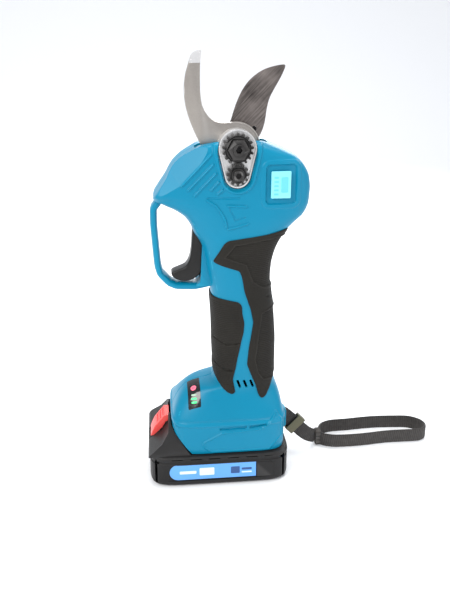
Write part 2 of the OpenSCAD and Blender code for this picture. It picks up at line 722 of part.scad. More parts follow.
module planet(k) {
  color([0.6, 0.6, 0.62])
    translate([px + pc * cos(90 + 120 * k), pc * sin(90 + 120 * k), gear_top - gear_h + 1])
      difference() {
        linear_extrude(height = gear_h - 1.6)
          polygon(gear_pts(12, pm, 0.6, 0.95, 0.28, 90 + 120 * k + 180 + 15));
        translate([0, 0, -1])
          cylinder(r = 1.5 + fit, h = gear_h + 2);
      }
}
module planet_1() {
  planet(0);
}
module planet_2() {
  planet(1);
}
module planet_3() {
  planet(2);
}
module ring_gear() {
  color([0.38, 0.38, 0.4])
    difference() {
      translate([px, 0, gear_top - gear_h - 2])
        cylinder(r = 15.6, h = gear_h + 6.2);
      translate([px, 0, gear_top - gear_h - 3])
        linear_extrude(height = gear_h + 20)
          polygon(gear_pts(36, pm, 0.9, 0.6, -0.28, 5));
    }
}
motor_top = gear_top - gear_h - 2;
module sun_gear() {
  color([0.75, 0.68, 0.4])
    difference() {
      translate([px, 0, gear_top - gear_h + 0.4])
        linear_extrude(height = gear_h - 1.2)
          polygon(gear_pts(12, pm, 0.6, 0.95, 0.28, 90));
      translate([px, 0, 0])
        cylinder(r = 1.5, h = 400);
    }
}
module motor_can() {
  color([0.3, 0.31, 0.33])
    difference() {
      translate([px, 0, motor_top - motor_l])
        cylinder(r = motor_d / 2, h = motor_l);
      translate([px, 0, motor_top - motor_l - 1])
        cylinder(r = motor_d / 2 - 1.2, h = motor_l - 1.5);
      translate([px, 0, motor_top - 10])
        cylinder(r = 1.6, h = 20);
    }
}
module stator() {
  color([0.72, 0.4, 0.2])
    difference() {
      translate([px, 0, motor_top - motor_l + 6])
        cylinder(r = motor_d / 2 - 1.2, h = motor_l - 16);
      translate([px, 0, motor_top - motor_l])
        cylinder(r = 6.6, h = motor_l);
      for (k = [0:5])
        rotate_about(60 * k)
          box([7.2, -0.8, motor_top - motor_l], [motor_d / 2 - 2.6, 0.8, motor_top]);
    }
}
module rotate_about(a) {
  translate([px, 0, 0])
    rotate([0, 0, a])
      children();
}
module rotor() {
  color([0.55, 0.55, 0.57])
    union() {
      translate([px, 0, motor_top - motor_l + 7])
        cylinder(r = 6, h = motor_l - 18);
      translate([px, 0, motor_top - motor_l + 1.5])
        cylinder(r = 1.5, h = motor_l + gear_h - 2);
    }
}
module motor_cap() {
  color([0.12, 0.12, 0.12])
    difference() {
      translate([px, 0, motor_top - motor_l - 2.5])
        cylinder(r = motor_d / 2, h = 2.5);
      translate([px, 0, motor_top - motor_l - 1])
        cylinder(r = 3, h = 2);
      for (k = [0:2])
        rotate_about(120 * k)
          translate([8.5, 0, motor_top - motor_l - 3])
            cylinder(r = 1.35, h = 4);
    }
}
function lead(k) = smooth([[px + 8.5 * cos(120 * k), 8.5 * sin(120 * k), motor_top - motor_l - 0.4],
  [px + 8.5 * cos(120 * k), 8.5 * sin(120 * k), motor_top - motor_l - 10],
  [px + [5, -4, -4][k], [0, 4, -4][k], zb + 12], [px + [5, -4, -4][k], [0, 4, -4][k], zb - 8],
  [px + [5, -4, -4][k], [0, 4, -4][k], z0 + 30.2]], 5);
module motor_leads() {
  for (k = [0:2])
    color([0.8, 0.75, 0.1])
      swept(lead(k), 2.2, 2.2, [0, 1, 0]);
}

// ---- trigger and controls ----
tx = -12;
tz = pz - 53;
module trigger() {
  color([0.08, 0.08, 0.08])
    difference() {
      slab(smooth([[-17.3, pz - 57], [-18, pz - 69], [-19.4, pz - 80], [-22.5, pz - 86.5],
        [-27, pz - 89], [-33, pz - 91.6], [-32.8, pz - 94.4], [-29.5, pz - 97.2], [-24, pz - 98.4],
        [-18.5, pz - 97.6], [-13.5, pz - 94.5], [-10, pz - 90], [-9, pz - 80], [-9.3, pz - 71],
        [-8.6, pz - 60], [-7.6, pz - 53], [-10.4, pz - 49.2], [-14, pz - 49.6], [-17, pz - 53],
        [-17.3, pz - 57]], 3), -6.5, 6.5);
      bar(tx, tz, 1.5 + fit, -20, 20);
      slab(smooth([[-15.5, pz - 62], [-16, pz - 72], [-17, pz - 80], [-13, pz - 84], [-11.5, pz - 76],
        [-11.3, pz - 66]], 3), 3.5, 7);
    }
}
module trigger_pin() {
  color([0.7, 0.7, 0.72])
    bar(tx, tz, 1.5, -16, 16);
}
module trigger_switch() {
  color([0.14, 0.14, 0.15])
    union() {
      box([-6.6, -5.5, pz - 74], [-2, 5.5, pz - 60]);
      box([-3.4, -5.5, pz - 86], [-2, 5.5, pz - 73.9]);
      translate([-6.95, 0, pz - 70])
        rotate([0, 90, 0])
          cylinder(r = 1.2, h = 2);
    }
}
function coil_at(a, b, r, n, m) = [for (i = [0:n * m]) let (t = i / (n * m), q = 360 * n * t)
  a + (b - a) * t + r * cos(q) * unit(cross(b - a, [0, 1, 0.01]))
  + r * sin(q) * unit(cross(b - a, cross(b - a, [0, 1, 0.01])))];
module trigger_spring() {
  color([0.7, 0.7, 0.7])
    swept(coil_at([-8.5, 0, pz - 80], [-3.8, 0, pz - 80], 1.9, 4, 12), 0.5, 0.5, [1, 0.1, 0.1]);
}
module led_panel() {
  color([0.05, 0.05, 0.06])
    difference() {
      seat([-4.8, -12.8, -2.5], [4.8, 12.8, 0.5]);
      translate(seat_c)
        rotate([seat_a, 0, 0])
          translate([0, 4, -1.6])
            cylinder(r = 3.1, h = 5);
      for (i = [0:2])
        seat([-2.6, -3.6 - 3.3 * i, 0], [2.6, -2.2 - 3.3 * i, 1]);
    }
}
module power_button() {
  color([0.85, 0.1, 0.12])
    translate(seat_c)
      rotate([seat_a, 0, 0])
        translate([0, 4, -0.9])
          cylinder(r = 3, h = 2);
}
module led_bars() {
  color([0.1, 0.8, 0.3])
    for (i = [0:2])
      seat([-2.6, -3.6 - 3.3 * i, 0], [2.6, -2.2 - 3.3 * i, 0.55]);
}
module control_board() {
  color([0.05, 0.3, 0.15])
    union() {
      box([-17, -21, z0 + 23.4], [40, 21, z0 + 25]);
      for (y = [-14, 0, 14])
        translate([30, y, z0 + 24.9])
          cylinder(r = 4, h = 9);
      for (k = [0:2])
        box([10 + 5 * k, -18, z0 + 24.9], [13 + 5 * k, -8, z0 + 27]);
      box([-10, 4, z0 + 24.9], [0, 14, z0 + 26.6]);
      box([8, -4, z0 + 24.9], [24, 10, z0 + 29]);
    }
}
module terminal_block() {
  color([0.1, 0.1, 0.1])
    box([40, -16, z0 + 6], [49, 16, z0 + 18]);
}
module terminals() {
  color([0.8, 0.5, 0.3])
    for (y = [-12, -4, 4, 12])
      box([17, y - 0.4, z0 + 8], [40, y + 0.4, z0 + 16]);
}

// ---- battery ----
bl = tub_l / 2;
bw = tub_w / 2;
latch_w = 8.5;
fit_l = 0.3;
module battery_tub() {
  color([0.08, 0.08, 0.085])
    difference() {
      loft([for (r = [[0, 3.2], [1.2, 1.4], [3.5, 0.3], [6, 0], [tub_h - 6, 0], [tub_h - 4, 0.8],
        [tub_h - 3, 0.8], [tub_h - 2.4, 0], [tub_h - 1, 0.4], [tub_h, 1.6]])
        whole(-bl + r[1], bl - r[1], bw - r[1], 9, r[0])]);
      box([-bl + 4, -bw + 3.2, 2.2], [bl - 4, bw - 3.2, tub_h + 1]);
      box([-40, -bw - 1, 6], [28, -bw + 0.8, tub_h - 6]);
      for (x = [-bl + 8, bl - 8])
        for (y = [-bw + 8, bw - 8])
          translate([x, y, -1])
            cylinder(r = 2.6, h = 2.5);
    }
}
module battery_top() {
  color([0.09, 0.09, 0.095])
    difference() {
      union() {
        box([-bl + 4.1, -bw + 3.3, tub_h - 2], [bl - 4.1, bw - 3.3, tub_h]);
        box([-36, -22, tub_h - 0.1], [29, 22, tub_h + 18]);
        box([-36, -25.6, tub_h + 9], [29, 25.6, tub_h + 14]);
        // flared cheeks under the base's cut corner, on both sides of the latch
        intersection() {
          slab([[-bl - 0.6, tub_h + 0.1], [-22.6, tub_h + 0.1], [-37.5, z0 + 20], [-38, z0 + 23.5],
            [-39.2, z0 + 23.5], [-39.8, z0 + 16], [-44.8, z0 + 8.6], [-54.2, z0 + 1.4]], -bw, bw);
          translate([-70, 0, 0])
            rotate([90, 0, 90])
              linear_extrude(height = 60)
                difference() {
                  polygon([[-bw + 3, z0 - 1], [-bw + 3, z0 + 3], [-bw + 10, z0 + 16], [-13.5, z0 + 24],
                    [13.5, z0 + 24], [bw - 10, z0 + 16], [bw - 3, z0 + 3], [bw - 3, z0 - 1]]);
                  translate([-latch_w - fit_l, z0 - 2])
                    square([2 * (latch_w + fit_l), 40]);
                }
        }
        slab([[-bl - 0.6, tub_h + 0.1], [-36, tub_h + 0.1], [-36, z0 + 12], [-37.6, z0 + 13.6],
          [-39.5, z0 + 11.5], [-43.5, z0 + 6.2], [-51, z0 - 0.2]], -15, 15);
      }
      translate([-46, 0, z0 + 0.6])
        cylinder(r = 2.8, h = 20);
      for (y = [-12, -4, 4, 12])
        box([12, y - 1.6, z0 + 6.5], [30, y + 1.6, z0 + 17]);
      box([-33, -19, tub_h - 3], [9, 19, tub_h + 16]);
    }
}
module battery_latch() {
  color([0.9, 0.12, 0.1])
    difference() {
      slab([[-38.6, z0 + 21], [-42.5, z0 + 21], [-50.2, z0 + 11.5], [-52.6, z0 + 6.4], [-53.9, z0 + 2.8],
        [-51.5, z0 + 3.2], [-44.2, z0 + 10.2], [-41.5, z0 + 15], [-38.6, z0 + 17]], -latch_w, latch_w);
      for (i = [0:2])
        slab(ridge([-42.3 - 2.2 * i, z0 + 19.3 - 2.7 * i], [-49 - 2.2 * i, z0 + 22.5 - 2.7 * i], 0.9),
          -6, 6);
      translate([-46, 0, z0])
        cylinder(r = 2.8, h = 13);
    }
}
module latch_spring() {
  color([0.7, 0.7, 0.7])
    swept(coil_at([-46, 0, z0 + 0.95], [-46, 0, z0 + 12.6], 2, 5, 12), 0.5, 0.5, [0.1, 0.1, 1]);
}
module cells() {
  color([0.2, 0.45, 0.75])
    for (i = [-2:2])
      translate([18.7 * i, 32.6, 11.6])
        rotate([90, 0, 0])
          cylinder(r = 9.2, h = 65.2);
}
module cell_board() {
  color([0.1, 0.35, 0.2])
    box([-40, -26, 21.2], [40, 26, 22.4]);
}
module battery_clips() {
  color([0.82, 0.6, 0.3])
    for (y = [-12, -4, 4, 12])
      for (s = [-1, 1])
        box([14, y + s * 1.1 - 0.25, z0 + 7], [29, y + s * 1.1 + 0.25, z0 + 16]);
}
module battery_label() {
  color([0.35, 0.62, 0.92])
    box([-39.8, -bw + 0.3, 6.2], [27.8, -bw + 0.75, tub_h - 6.2]);
}
module battery_screws() {
  color([0.3, 0.3, 0.32])
    for (x = [-bl + 8, bl - 8])
      for (y = [-bw + 8, bw - 8])
        translate([x, y, 0.3])
          cylinder(r = 2.5, h = 1.2);
}

// ---- wrist strap ----
lug_x = 53.6 + base_l;
short_at = smooth([[lug_x + 0.1, -4, z0 + 10.5], [lug_x + 0.1, 1, z0 + 10.5], [lug_x + 0.9, 4.4, z0 + 10.3],
  [lug_x + 4.2, 6.2, z0 + 7.5], [lug_x + 10.8, 7, z0 + 1], [lug_x + 18.2, 8, 19.5], [lug_x + 25.8, 10.5, 12],
  [lug_x + 33.4, 14.5, 7.2]], 3);
loop_at = [for (p = smooth([[90, 17, 6.6], [94, 25, 6.6], [103, 30, 6.6], [118, 31, 6.6],
  [142, 33, 6.6], [164, 32, 6.6], [176, 30, 6.6], [184, 23, 6.6], [185, 14, 6.6], [178, 8.5, 6.6],
  [165, 8, 6.6], [148, 8, 6.6], [124, 5.5, 6.6], [104, 5.5, 6.6], [94, 8.5, 6.6],
  [90, 13, 6.6]], 3)) p + [base_l, 0, 0]];
module strap_short() {
  color([0.1, 0.1, 0.1])
    swept(short_at, strap_w, strap_t);
}
module strap_loop() {
  color([0.1, 0.1, 0.1])
    swept(loop_at, strap_w, strap_t);
}
module strap_slider() {
  color([0.45, 0.42, 0.3])
    translate(short_at[13])
      rotate([0, 46, 6])
        difference() {
          box([-4, -3, -8.2], [4, 3, 8.2]);
          box([-5, -1.9, -6.8], [5, 1.9, 6.8]);
        }
}
module strap_junction() {
  color([0.12, 0.12, 0.12])
    translate([base_l, 0, 0])
      box([86.6, 11, 0.4], [91.6, 19, 13]);
}

// ---- which pieces are drawn ----
shell_front();
shell_rear();
shell_screws();
grip_front_near();
grip_rear_near();
grip_front_far();
grip_rear_far();
badge();
hook_blade();
hook_screws();
moving_blade();
fan_gear();
drive_pins();
front_plate();
case_screws();
gear_case();
thrust_washer();
pivot_bolt();
toothed_nut();
lock_pinion();
lock_screw();
bevel_pinion();
pinion_bush();
carrier();
planet_1();
planet_2();
planet_3();
ring_gear();
sun_gear();
motor_can();
stator();
rotor();
motor_cap();
motor_leads();
trigger();
trigger_pin();
trigger_switch();
trigger_spring();
led_panel();
power_button();
led_bars();
control_board();
terminal_block();
terminals();
battery_tub();
battery_top();
battery_latch();
latch_spring();
cells();
cell_board();
battery_clips();
battery_label();
battery_screws();
strap_short();
strap_slider();
strap_junction();
strap_loop();
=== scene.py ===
import math

import bmesh
import bpy
import numpy as np
from mathutils import Matrix, Vector


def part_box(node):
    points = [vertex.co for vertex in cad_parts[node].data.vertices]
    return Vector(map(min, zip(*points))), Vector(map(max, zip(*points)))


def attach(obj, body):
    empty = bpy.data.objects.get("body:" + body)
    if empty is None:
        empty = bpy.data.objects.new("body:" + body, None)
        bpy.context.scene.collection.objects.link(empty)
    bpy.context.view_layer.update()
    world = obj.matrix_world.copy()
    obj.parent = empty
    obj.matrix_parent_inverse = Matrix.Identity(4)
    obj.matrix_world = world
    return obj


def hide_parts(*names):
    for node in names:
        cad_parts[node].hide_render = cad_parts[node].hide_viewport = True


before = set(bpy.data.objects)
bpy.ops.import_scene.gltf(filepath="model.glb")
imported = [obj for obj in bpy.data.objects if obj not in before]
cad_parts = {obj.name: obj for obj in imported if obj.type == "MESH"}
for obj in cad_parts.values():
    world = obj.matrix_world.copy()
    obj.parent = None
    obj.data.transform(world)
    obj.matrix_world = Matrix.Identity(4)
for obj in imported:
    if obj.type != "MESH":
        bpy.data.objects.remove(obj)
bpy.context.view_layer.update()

scene = bpy.context.scene
scene.view_settings.view_transform = "Standard"

# ---- Bench and light ----
# The pruner stands on its battery on a pale bench and is seen from a little above.
# Soft panels light it. None of this is part of the tool.
eye = bpy.data.objects.new("eye", bpy.data.cameras.new("eye"))
eye.data.lens = 40.8
eye.data.sensor_width = 36
eye.location = (-0.0415, -0.4866, 0.324)
eye.rotation_euler = (math.radians(90 - 20.5), 0, math.radians(-5.7))
scene.collection.objects.link(eye)
scene.camera = eye

backdrop = bpy.data.worlds.new("pale_room")
backdrop.use_nodes = True
backdrop.node_tree.nodes["Background"].inputs["Color"].default_value = (0.93, 0.95, 1.0, 1)
backdrop.node_tree.nodes["Background"].inputs["Strength"].default_value = 0.75
scene.world = backdrop


def soft_panel(name, place, target, size, power, tint):
    panel = bpy.data.lights.new(name, "AREA")
    panel.shape = "RECTANGLE"
    panel.size, panel.size_y = size
    panel.energy = power
    panel.color = tint
    lamp = bpy.data.objects.new(name, panel)
    lamp.location = place
    lamp.rotation_euler = (Vector(target) - Vector(place)).to_track_quat("-Z", "Y").to_euler()
    scene.collection.objects.link(lamp)


soft_panel("key_panel", (-0.75, -0.75, 0.95), (0, 0, 0.15), (0.7, 0.5), 12.5, (1, 0.98, 0.95))
soft_panel("fill_panel", (0.9, -0.7, 0.45), (0, 0, 0.15), (0.8, 0.8), 3.5, (0.95, 0.97, 1))
soft_panel("top_panel", (0.1, 0.15, 1.1), (0, 0, 0.1), (0.7, 0.5), 8, (1, 1, 1))
soft_panel("back_panel", (0.3, 1.0, 0.6), (0, 0, 0.2), (0.8, 0.6), 6, (1, 1, 1))

bench_cut = bmesh.new()
bmesh.ops.create_grid(bench_cut, x_segments=60, y_segments=60, size=2.5)
for v in bench_cut.verts:
    v.co.z = -0.0002 + max(0.0, v.co.y - 0.9) ** 2 * 0.9
bench_mesh = bpy.data.meshes.new("bench")
bench_cut.to_mesh(bench_mesh)
bench_cut.free()
bench_mesh.polygons.foreach_set("use_smooth", [True] * len(bench_mesh.polygons))
bench = bpy.data.objects.new("bench", bench_mesh)
scene.collection.objects.link(bench)
bench_paint = bpy.data.materials.new("bench_paint")
bench_paint.use_nodes = True
bench_paint.node_tree.nodes["Principled BSDF"].inputs["Base Color"].default_value = (0.93, 0.94, 0.95, 1)
bench_paint.node_tree.nodes["Principled BSDF"].inputs["Roughness"].default_value = 0.7
bench.data.materials.append(bench_paint)


# ---- Wrist strap ----
# A 12 mm black nylon webbing: a short tail from the lug on the base, through a metal slider
# to a stitched joint, and the wrist loop that lies on the bench on its edge.
def finish(name, colour, rough, metal=0.0, mottle=0.08, patch=40, grain=3500, bump=0.03,
           stretch=(1, 1, 1), turn=(0, 0, 0), rough_spread=0.08, wear=None, **sockets):
    """A material with patchy colour, uneven gloss and a fine grain, and paler where edges wear."""
    made = bpy.data.materials.new(name)
    made.use_nodes = True
    nodes, links = made.node_tree.nodes, made.node_tree.links
    shader = nodes["Principled BSDF"]
    shader.inputs["Metallic"].default_value = metal
    for socket, value in sockets.items():
        shader.inputs[socket.replace("_", " ")].default_value = value
    place = nodes.new("ShaderNodeTexCoord")
    lay = nodes.new("ShaderNodeMapping")
    lay.vector_type = "TEXTURE"
    lay.inputs["Scale"].default_value = [1 / s for s in stretch]
    lay.inputs["Rotation"].default_value = [math.radians(a) for a in turn]
    links.new(place.outputs["Object"], lay.inputs["Vector"])
    patches = nodes.new("ShaderNodeTexNoise")
    patches.inputs["Scale"].default_value = patch
    patches.inputs["Detail"].default_value = 6
    links.new(place.outputs["Object"], patches.inputs["Vector"])
    fine = nodes.new("ShaderNodeTexNoise")
    fine.inputs["Scale"].default_value = grain
    fine.inputs["Detail"].default_value = 3
    links.new(lay.outputs["Vector"], fine.inputs["Vector"])
    tone = nodes.new("ShaderNodeMix")
    tone.data_type = "RGBA"
    tone.inputs["A"].default_value = (*[c * (1 - mottle) for c in colour], 1)
    tone.inputs["B"].default_value = (*[min(1, c * (1 + mottle)) for c in colour], 1)
    both = nodes.new("ShaderNodeMath")
    both.operation = "MULTIPLY_ADD"
    both.inputs[1].default_value = 0.5
    links.new(fine.outputs["Fac"], both.inputs[0])
    half = nodes.new("ShaderNodeMath")
    half.operation = "MULTIPLY"
    half.inputs[1].default_value = 0.5
    links.new(patches.outputs["Fac"], half.inputs[0])
    links.new(half.outputs[0], both.inputs[2])
    spread = nodes.new("ShaderNodeMapRange")
    spread.inputs["From Min"].default_value = 0.3
    spread.inputs["From Max"].default_value = 0.7
    links.new(both.outputs[0], spread.inputs["Value"])
    links.new(spread.outputs["Result"], tone.inputs["Factor"])
    last = tone.outputs["Result"]
    if wear:
        edge = nodes.new("ShaderNodeNewGeometry")
        worn = nodes.new("ShaderNodeMapRange")
        worn.inputs["From Min"].default_value = 0.52
        worn.inputs["From Max"].default_value = 0.6
        links.new(edge.outputs["Pointiness"], worn.inputs["Value"])
        rub = nodes.new("ShaderNodeMath")
        rub.operation = "MULTIPLY"
        links.new(worn.outputs["Result"], rub.inputs[0])
        links.new(patches.outputs["Fac"], rub.inputs[1])
        bare = nodes.new("ShaderNodeMix")
        bare.data_type = "RGBA"
        bare.inputs["B"].default_value = (*wear, 1)
        links.new(last, bare.inputs["A"])
        links.new(rub.outputs[0], bare.inputs["Factor"])
        last = bare.outputs["Result"]
    links.new(last, shader.inputs["Base Color"])
    gloss = nodes.new("ShaderNodeMapRange")
    gloss.inputs["To Min"].default_value = max(0.02, rough - rough_spread)
    gloss.inputs["To Max"].default_value = min(1, rough + rough_spread)
    links.new(both.outputs[0], gloss.inputs["Value"])
    links.new(gloss.outputs["Result"], shader.inputs["Roughness"])
    relief = nodes.new("ShaderNodeBump")
    relief.inputs["Strength"].default_value = 1
    relief.inputs["Distance"].default_value = bump * 0.001
    links.new(fine.outputs["Fac"], relief.inputs["Height"])
    links.new(relief.outputs["Normal"], shader.inputs["Normal"])
    return made


def piece(name, points, faces, material, sharp=40):
    """A mesh from points in millimetres."""
    mesh = bpy.data.meshes.new(name)
    mesh.from_pydata([tuple(c * 0.001 for c in p) for p in points], [], faces)
    made = bpy.data.objects.new(name, mesh)
    scene.collection.objects.link(made)
    mesh.materials.append(material)
    smooth_up(made, sharp)
    return made


def smooth_up(made, sharp):
    mesh = made.data
    mesh.update()
    mesh.polygons.foreach_set("use_smooth", [True] * len(mesh.polygons))
    mesh.set_sharp_from_angle(angle=math.radians(sharp))


def through(points, steps):
    """A smooth line through given points."""
    p = [Vector(q) for q in points]
    line = []
    for i in range(len(p) - 1):
        a, b, c, d = p[max(i - 1, 0)], p[i], p[i + 1], p[min(i + 2, len(p) - 1)]
        for j in range(steps):
            t = j / steps
            line.append(0.5 * (2 * b + (c - a) * t + (2 * a - 5 * b + 4 * c - d) * t * t
                               + (3 * b - a - 3 * c + d) * t ** 3))
    return line + [p[-1]]


def even(line, pitch):
    """The same line with its points a pitch apart."""
    run = np.array([tuple(p) for p in line])
    far = np.concatenate([[0], np.cumsum(np.linalg.norm(np.diff(run, axis=0), axis=1))])
    at = np.linspace(0, far[-1], max(2, int(far[-1] / pitch)) + 1)
    return np.stack([np.interp(at, far, run[:, k]) for k in range(3)], 1), far[-1]


base_top = 27.0  # height of the battery's seam
webbing_width = 12.0
webbing_thick = 1.5
rib_pitch = 1.7

webbing = finish("webbing", (0.04, 0.037, 0.035), 0.85, mottle=0.35, patch=300, grain=2600, bump=0.12,
                 Sheen_Weight=0.12, Sheen_Roughness=0.5, Specular_IOR_Level=0.2)
# The rib attribute darkens the webbing's colour in the valleys between ribs and lightens it on their crests:
# painted shade and painted highlight.
shade = webbing.node_tree.nodes.new("ShaderNodeAttribute")
shade.attribute_name = "rib"
rib_painted_light_mix = webbing.node_tree.nodes.new("ShaderNodeMix")
rib_painted_light_mix.data_type = "RGBA"
rib_painted_light_mix.blend_type = "MULTIPLY"
rib_painted_light_mix.inputs["Factor"].default_value = 1
tinted = webbing.node_tree.nodes["Principled BSDF"].inputs["Base Color"].links[0].from_socket
webbing.node_tree.links.new(tinted, rib_painted_light_mix.inputs["A"])
webbing.node_tree.links.new(shade.outputs["Color"], rib_painted_light_mix.inputs["B"])
webbing.node_tree.links.new(rib_painted_light_mix.outputs["Result"],
                            webbing.node_tree.nodes["Principled BSDF"].inputs["Base Color"])


def ring_faces(rings, n, first=0):
    """Quads that join closed rings of n points, numbered from first."""
    return [(first + j * n + k, first + j * n + (k + 1) % n,
             first + (j + 1) * n + (k + 1) % n, first + (j + 1) * n + k)
            for j in range(rings - 1) for k in range(n)]


def webbing_band(name, line):
    """Ribbed band swept along a line, standing on its edge; its colour carries painted shade in the rib
    valleys and painted highlight on the crests.
    """
    path, length = even(line, 0.34)
    round_the_band = 28
    points, rib_painted_light = [], []
    for i, at in enumerate(path):
        ahead = Vector(path[min(i + 1, len(path) - 1)] - path[max(i - 1, 0)]).normalized()
        side = ahead.cross(Vector((0, 0, 1))).normalized()
        up = side.cross(ahead).normalized()
        s = length * i / (len(path) - 1)
        for k in range(round_the_band):
            a = 2 * math.pi * (k + 0.5) / round_the_band
            across = math.copysign(abs(math.cos(a)) ** 0.35, math.cos(a))
            flat = math.copysign(abs(math.sin(a)) ** 0.35, math.sin(a))
            rib = math.cos(2 * math.pi * (s / rib_pitch + 0.35 * across))
            body = 1 if abs(across) < 0.9 else 0.2
            points.append(Vector(at) + up * across * webbing_width / 2
                          + side * flat * (webbing_thick / 2 + 0.13 * rib * body))
            # painted light: darker in the rib valleys, lighter on the crests, nearly even at the band's edges
            rib_painted_light.append(0.75 + 0.75 * (0.5 + 0.5 * rib) * body)
    n = round_the_band
    faces = ring_faces(len(path), n)
    faces += [tuple(reversed(range(n))), tuple(range((len(path) - 1) * n, len(path) * n))]
    band = piece(name, points, [tuple(reversed(f)) for f in faces], webbing, 60)
    tone = band.data.attributes.new("rib", "FLOAT_COLOR", "POINT")
    tone.data.foreach_set("color", [c for v in rib_painted_light for c in (v, v, v, 1)])
    return band, [tuple(c * 0.001 for c in p) for p in path[::6]] + [tuple(path[-1] * 0.001)], length * 0.001


lug_back = 53.6
tail_line = through([(lug_back + 0.1, -4, base_top + 10.5), (lug_back + 0.1, 1, base_top + 10.5),
                     (lug_back + 0.9, 4.4, base_top + 10.3), (lug_back + 4.2, 6.2, base_top + 7.5),
                     (lug_back + 10.8, 7, base_top + 1), (lug_back + 18.2, 8, 19.5),
                     (lug_back + 25.8, 10.5, 12), (lug_back + 33.4, 14.5, 7.2)], 3)
loop_line = through([(90, 17, 6.6), (94, 25, 6.6), (103, 30, 6.6), (118, 31, 6.6), (142, 33, 6.6),
                     (164, 32, 6.6), (176, 30, 6.6), (184, 23, 6.6), (185, 14, 6.6), (178, 8.5, 6.6),
                     (165, 8, 6.6), (148, 8, 6.6), (124, 5.5, 6.6), (104, 5.5, 6.6), (94, 8.5, 6.6),
                     (90, 13, 6.6)], 3)
tail, tail_path, tail_length = webbing_band("strap_tail", tail_line)
wrist_loop, loop_path, loop_length = webbing_band("wrist_loop", loop_line)


def soften(node, material, width=0.25, dissolve=True):
    """A machined or moulded part keeps its shape and gets fine rounded edges and its finish."""
    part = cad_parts[node]
    mesh = part.data
    if "custom_normal" in mesh.attributes:
        mesh.attributes.remove(mesh.attributes["custom_normal"])
    mesh.polygons.foreach_set("use_smooth", [True] * len(mesh.polygons))
    weld = part.modifiers.new("weld", "WELD")
    weld.merge_threshold = 0.000004
    if dissolve:
        flat = part.modifiers.new("flat_faces", "DECIMATE")
        flat.decimate_type = "DISSOLVE"
        flat.angle_limit = math.radians(0.4)
    if width:
        edges = part.modifiers.new("edges", "BEVEL")
        edges.width = width * 0.001
        edges.segments = 2
        edges.limit_method = "ANGLE"
        edges.angle_limit = math.radians(32)
        edges.miter_outer = "MITER_ARC"
    even_light = part.modifiers.new("even_light", "WEIGHTED_NORMAL")
    even_light.weight = 60
    mesh.materials.clear()
    mesh.materials.append(material)
    return part


olive_metal = finish("olive_metal", (0.075, 0.072, 0.04), 0.45, metal=0.5, grain=2500, bump=0.02,
                     mottle=0.2, wear=(0.22, 0.21, 0.15), Specular_IOR_Level=0.3)
soften("strap_slider", olive_metal, 0.5)

# the sewn joint: a folded tab with rows of thread across it
joint_low, joint_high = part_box("strap_junction")
joint_mid = (joint_low + joint_high) / 2 * 1000
joint_half = (joint_high - joint_low) / 2 * 1000
tab = bmesh.new()
bmesh.ops.create_cube(tab, size=1)
for v in tab.verts:
    v.co = Vector(v.co[k] * 2 * joint_half[k] for k in range(3))
bmesh.ops.bevel(tab, geom=tab.edges[:], offset=1.1, segments=4, profile=0.6, affect="EDGES")
long_edges = [e for e in tab.edges if e.calc_length() > 3]
bmesh.ops.subdivide_edges(tab, edges=long_edges, cuts=10, use_grid_fill=True)
for v in tab.verts:
    v.co.y += 0.25 * math.sin(v.co.z * 2.1) * (1 if abs(v.co.y) > joint_half.y - 1 else 0)
    v.co.x += 0.12 * math.sin(v.co.z * 3.4)
for v in tab.verts:
    v.co = (v.co + joint_mid) * 0.001
tab_mesh = bpy.data.meshes.new("strap_joint")
tab.to_mesh(tab_mesh)
tab.free()
strap_joint = bpy.data.objects.new("strap_joint", tab_mesh)
scene.collection.objects.link(strap_joint)
joint_cloth = finish("joint_cloth", (0.055, 0.05, 0.046), 0.85, mottle=0.4, grain=1800, bump=0.15,
                     Specular_IOR_Level=0.2)
tab_mesh.materials.append(joint_cloth)
smooth_up(strap_joint, 50)

thread = finish("thread", (0.17, 0.16, 0.15), 0.6, mottle=0.2, grain=4000, bump=0.03)
stitch_points, stitch_faces = [], []
for row in range(4):
    for step in range(3):
        for face in (-1, 1):
            at = Vector((joint_mid.x + (row - 1.5) * 1.0, joint_mid.y + face * joint_half.y, 0))
            z = joint_mid.z + (step - 1) * 3.6
            first = len(stitch_points)
            for j in range(7):
                t = j / 6 * math.pi
                centre = Vector((at.x, at.y + face * (0.18 * math.sin(t) - 0.05), z - 1.3 * math.cos(t)))
                for k in range(6):
                    b = 2 * math.pi * k / 6
                    stitch_points.append(centre + Vector((0.2 * math.cos(b), 0.16 * math.sin(b), 0)))
            stitch_faces += ring_faces(7, 6, first)
            stitch_faces.append(tuple(first + k for k in reversed(range(6))))
            stitch_faces.append(tuple(first + 36 + k for k in range(6)))
stitches = piece("joint_stitches", stitch_points, stitch_faces, thread, 80)

for part in (tail, wrist_loop, strap_joint, stitches):
    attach(part, "tool")
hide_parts("strap_short")
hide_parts("strap_loop")
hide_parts("strap_junction")

# ---- Housing halves ----
# Two moulded blue nylon halves, screwed together along the middle, make the head, the hollow
# grip, the finger guard and the base that drops over the battery.
pivot_x = 14.0
pivot_z = 258.0
wall = 2.4

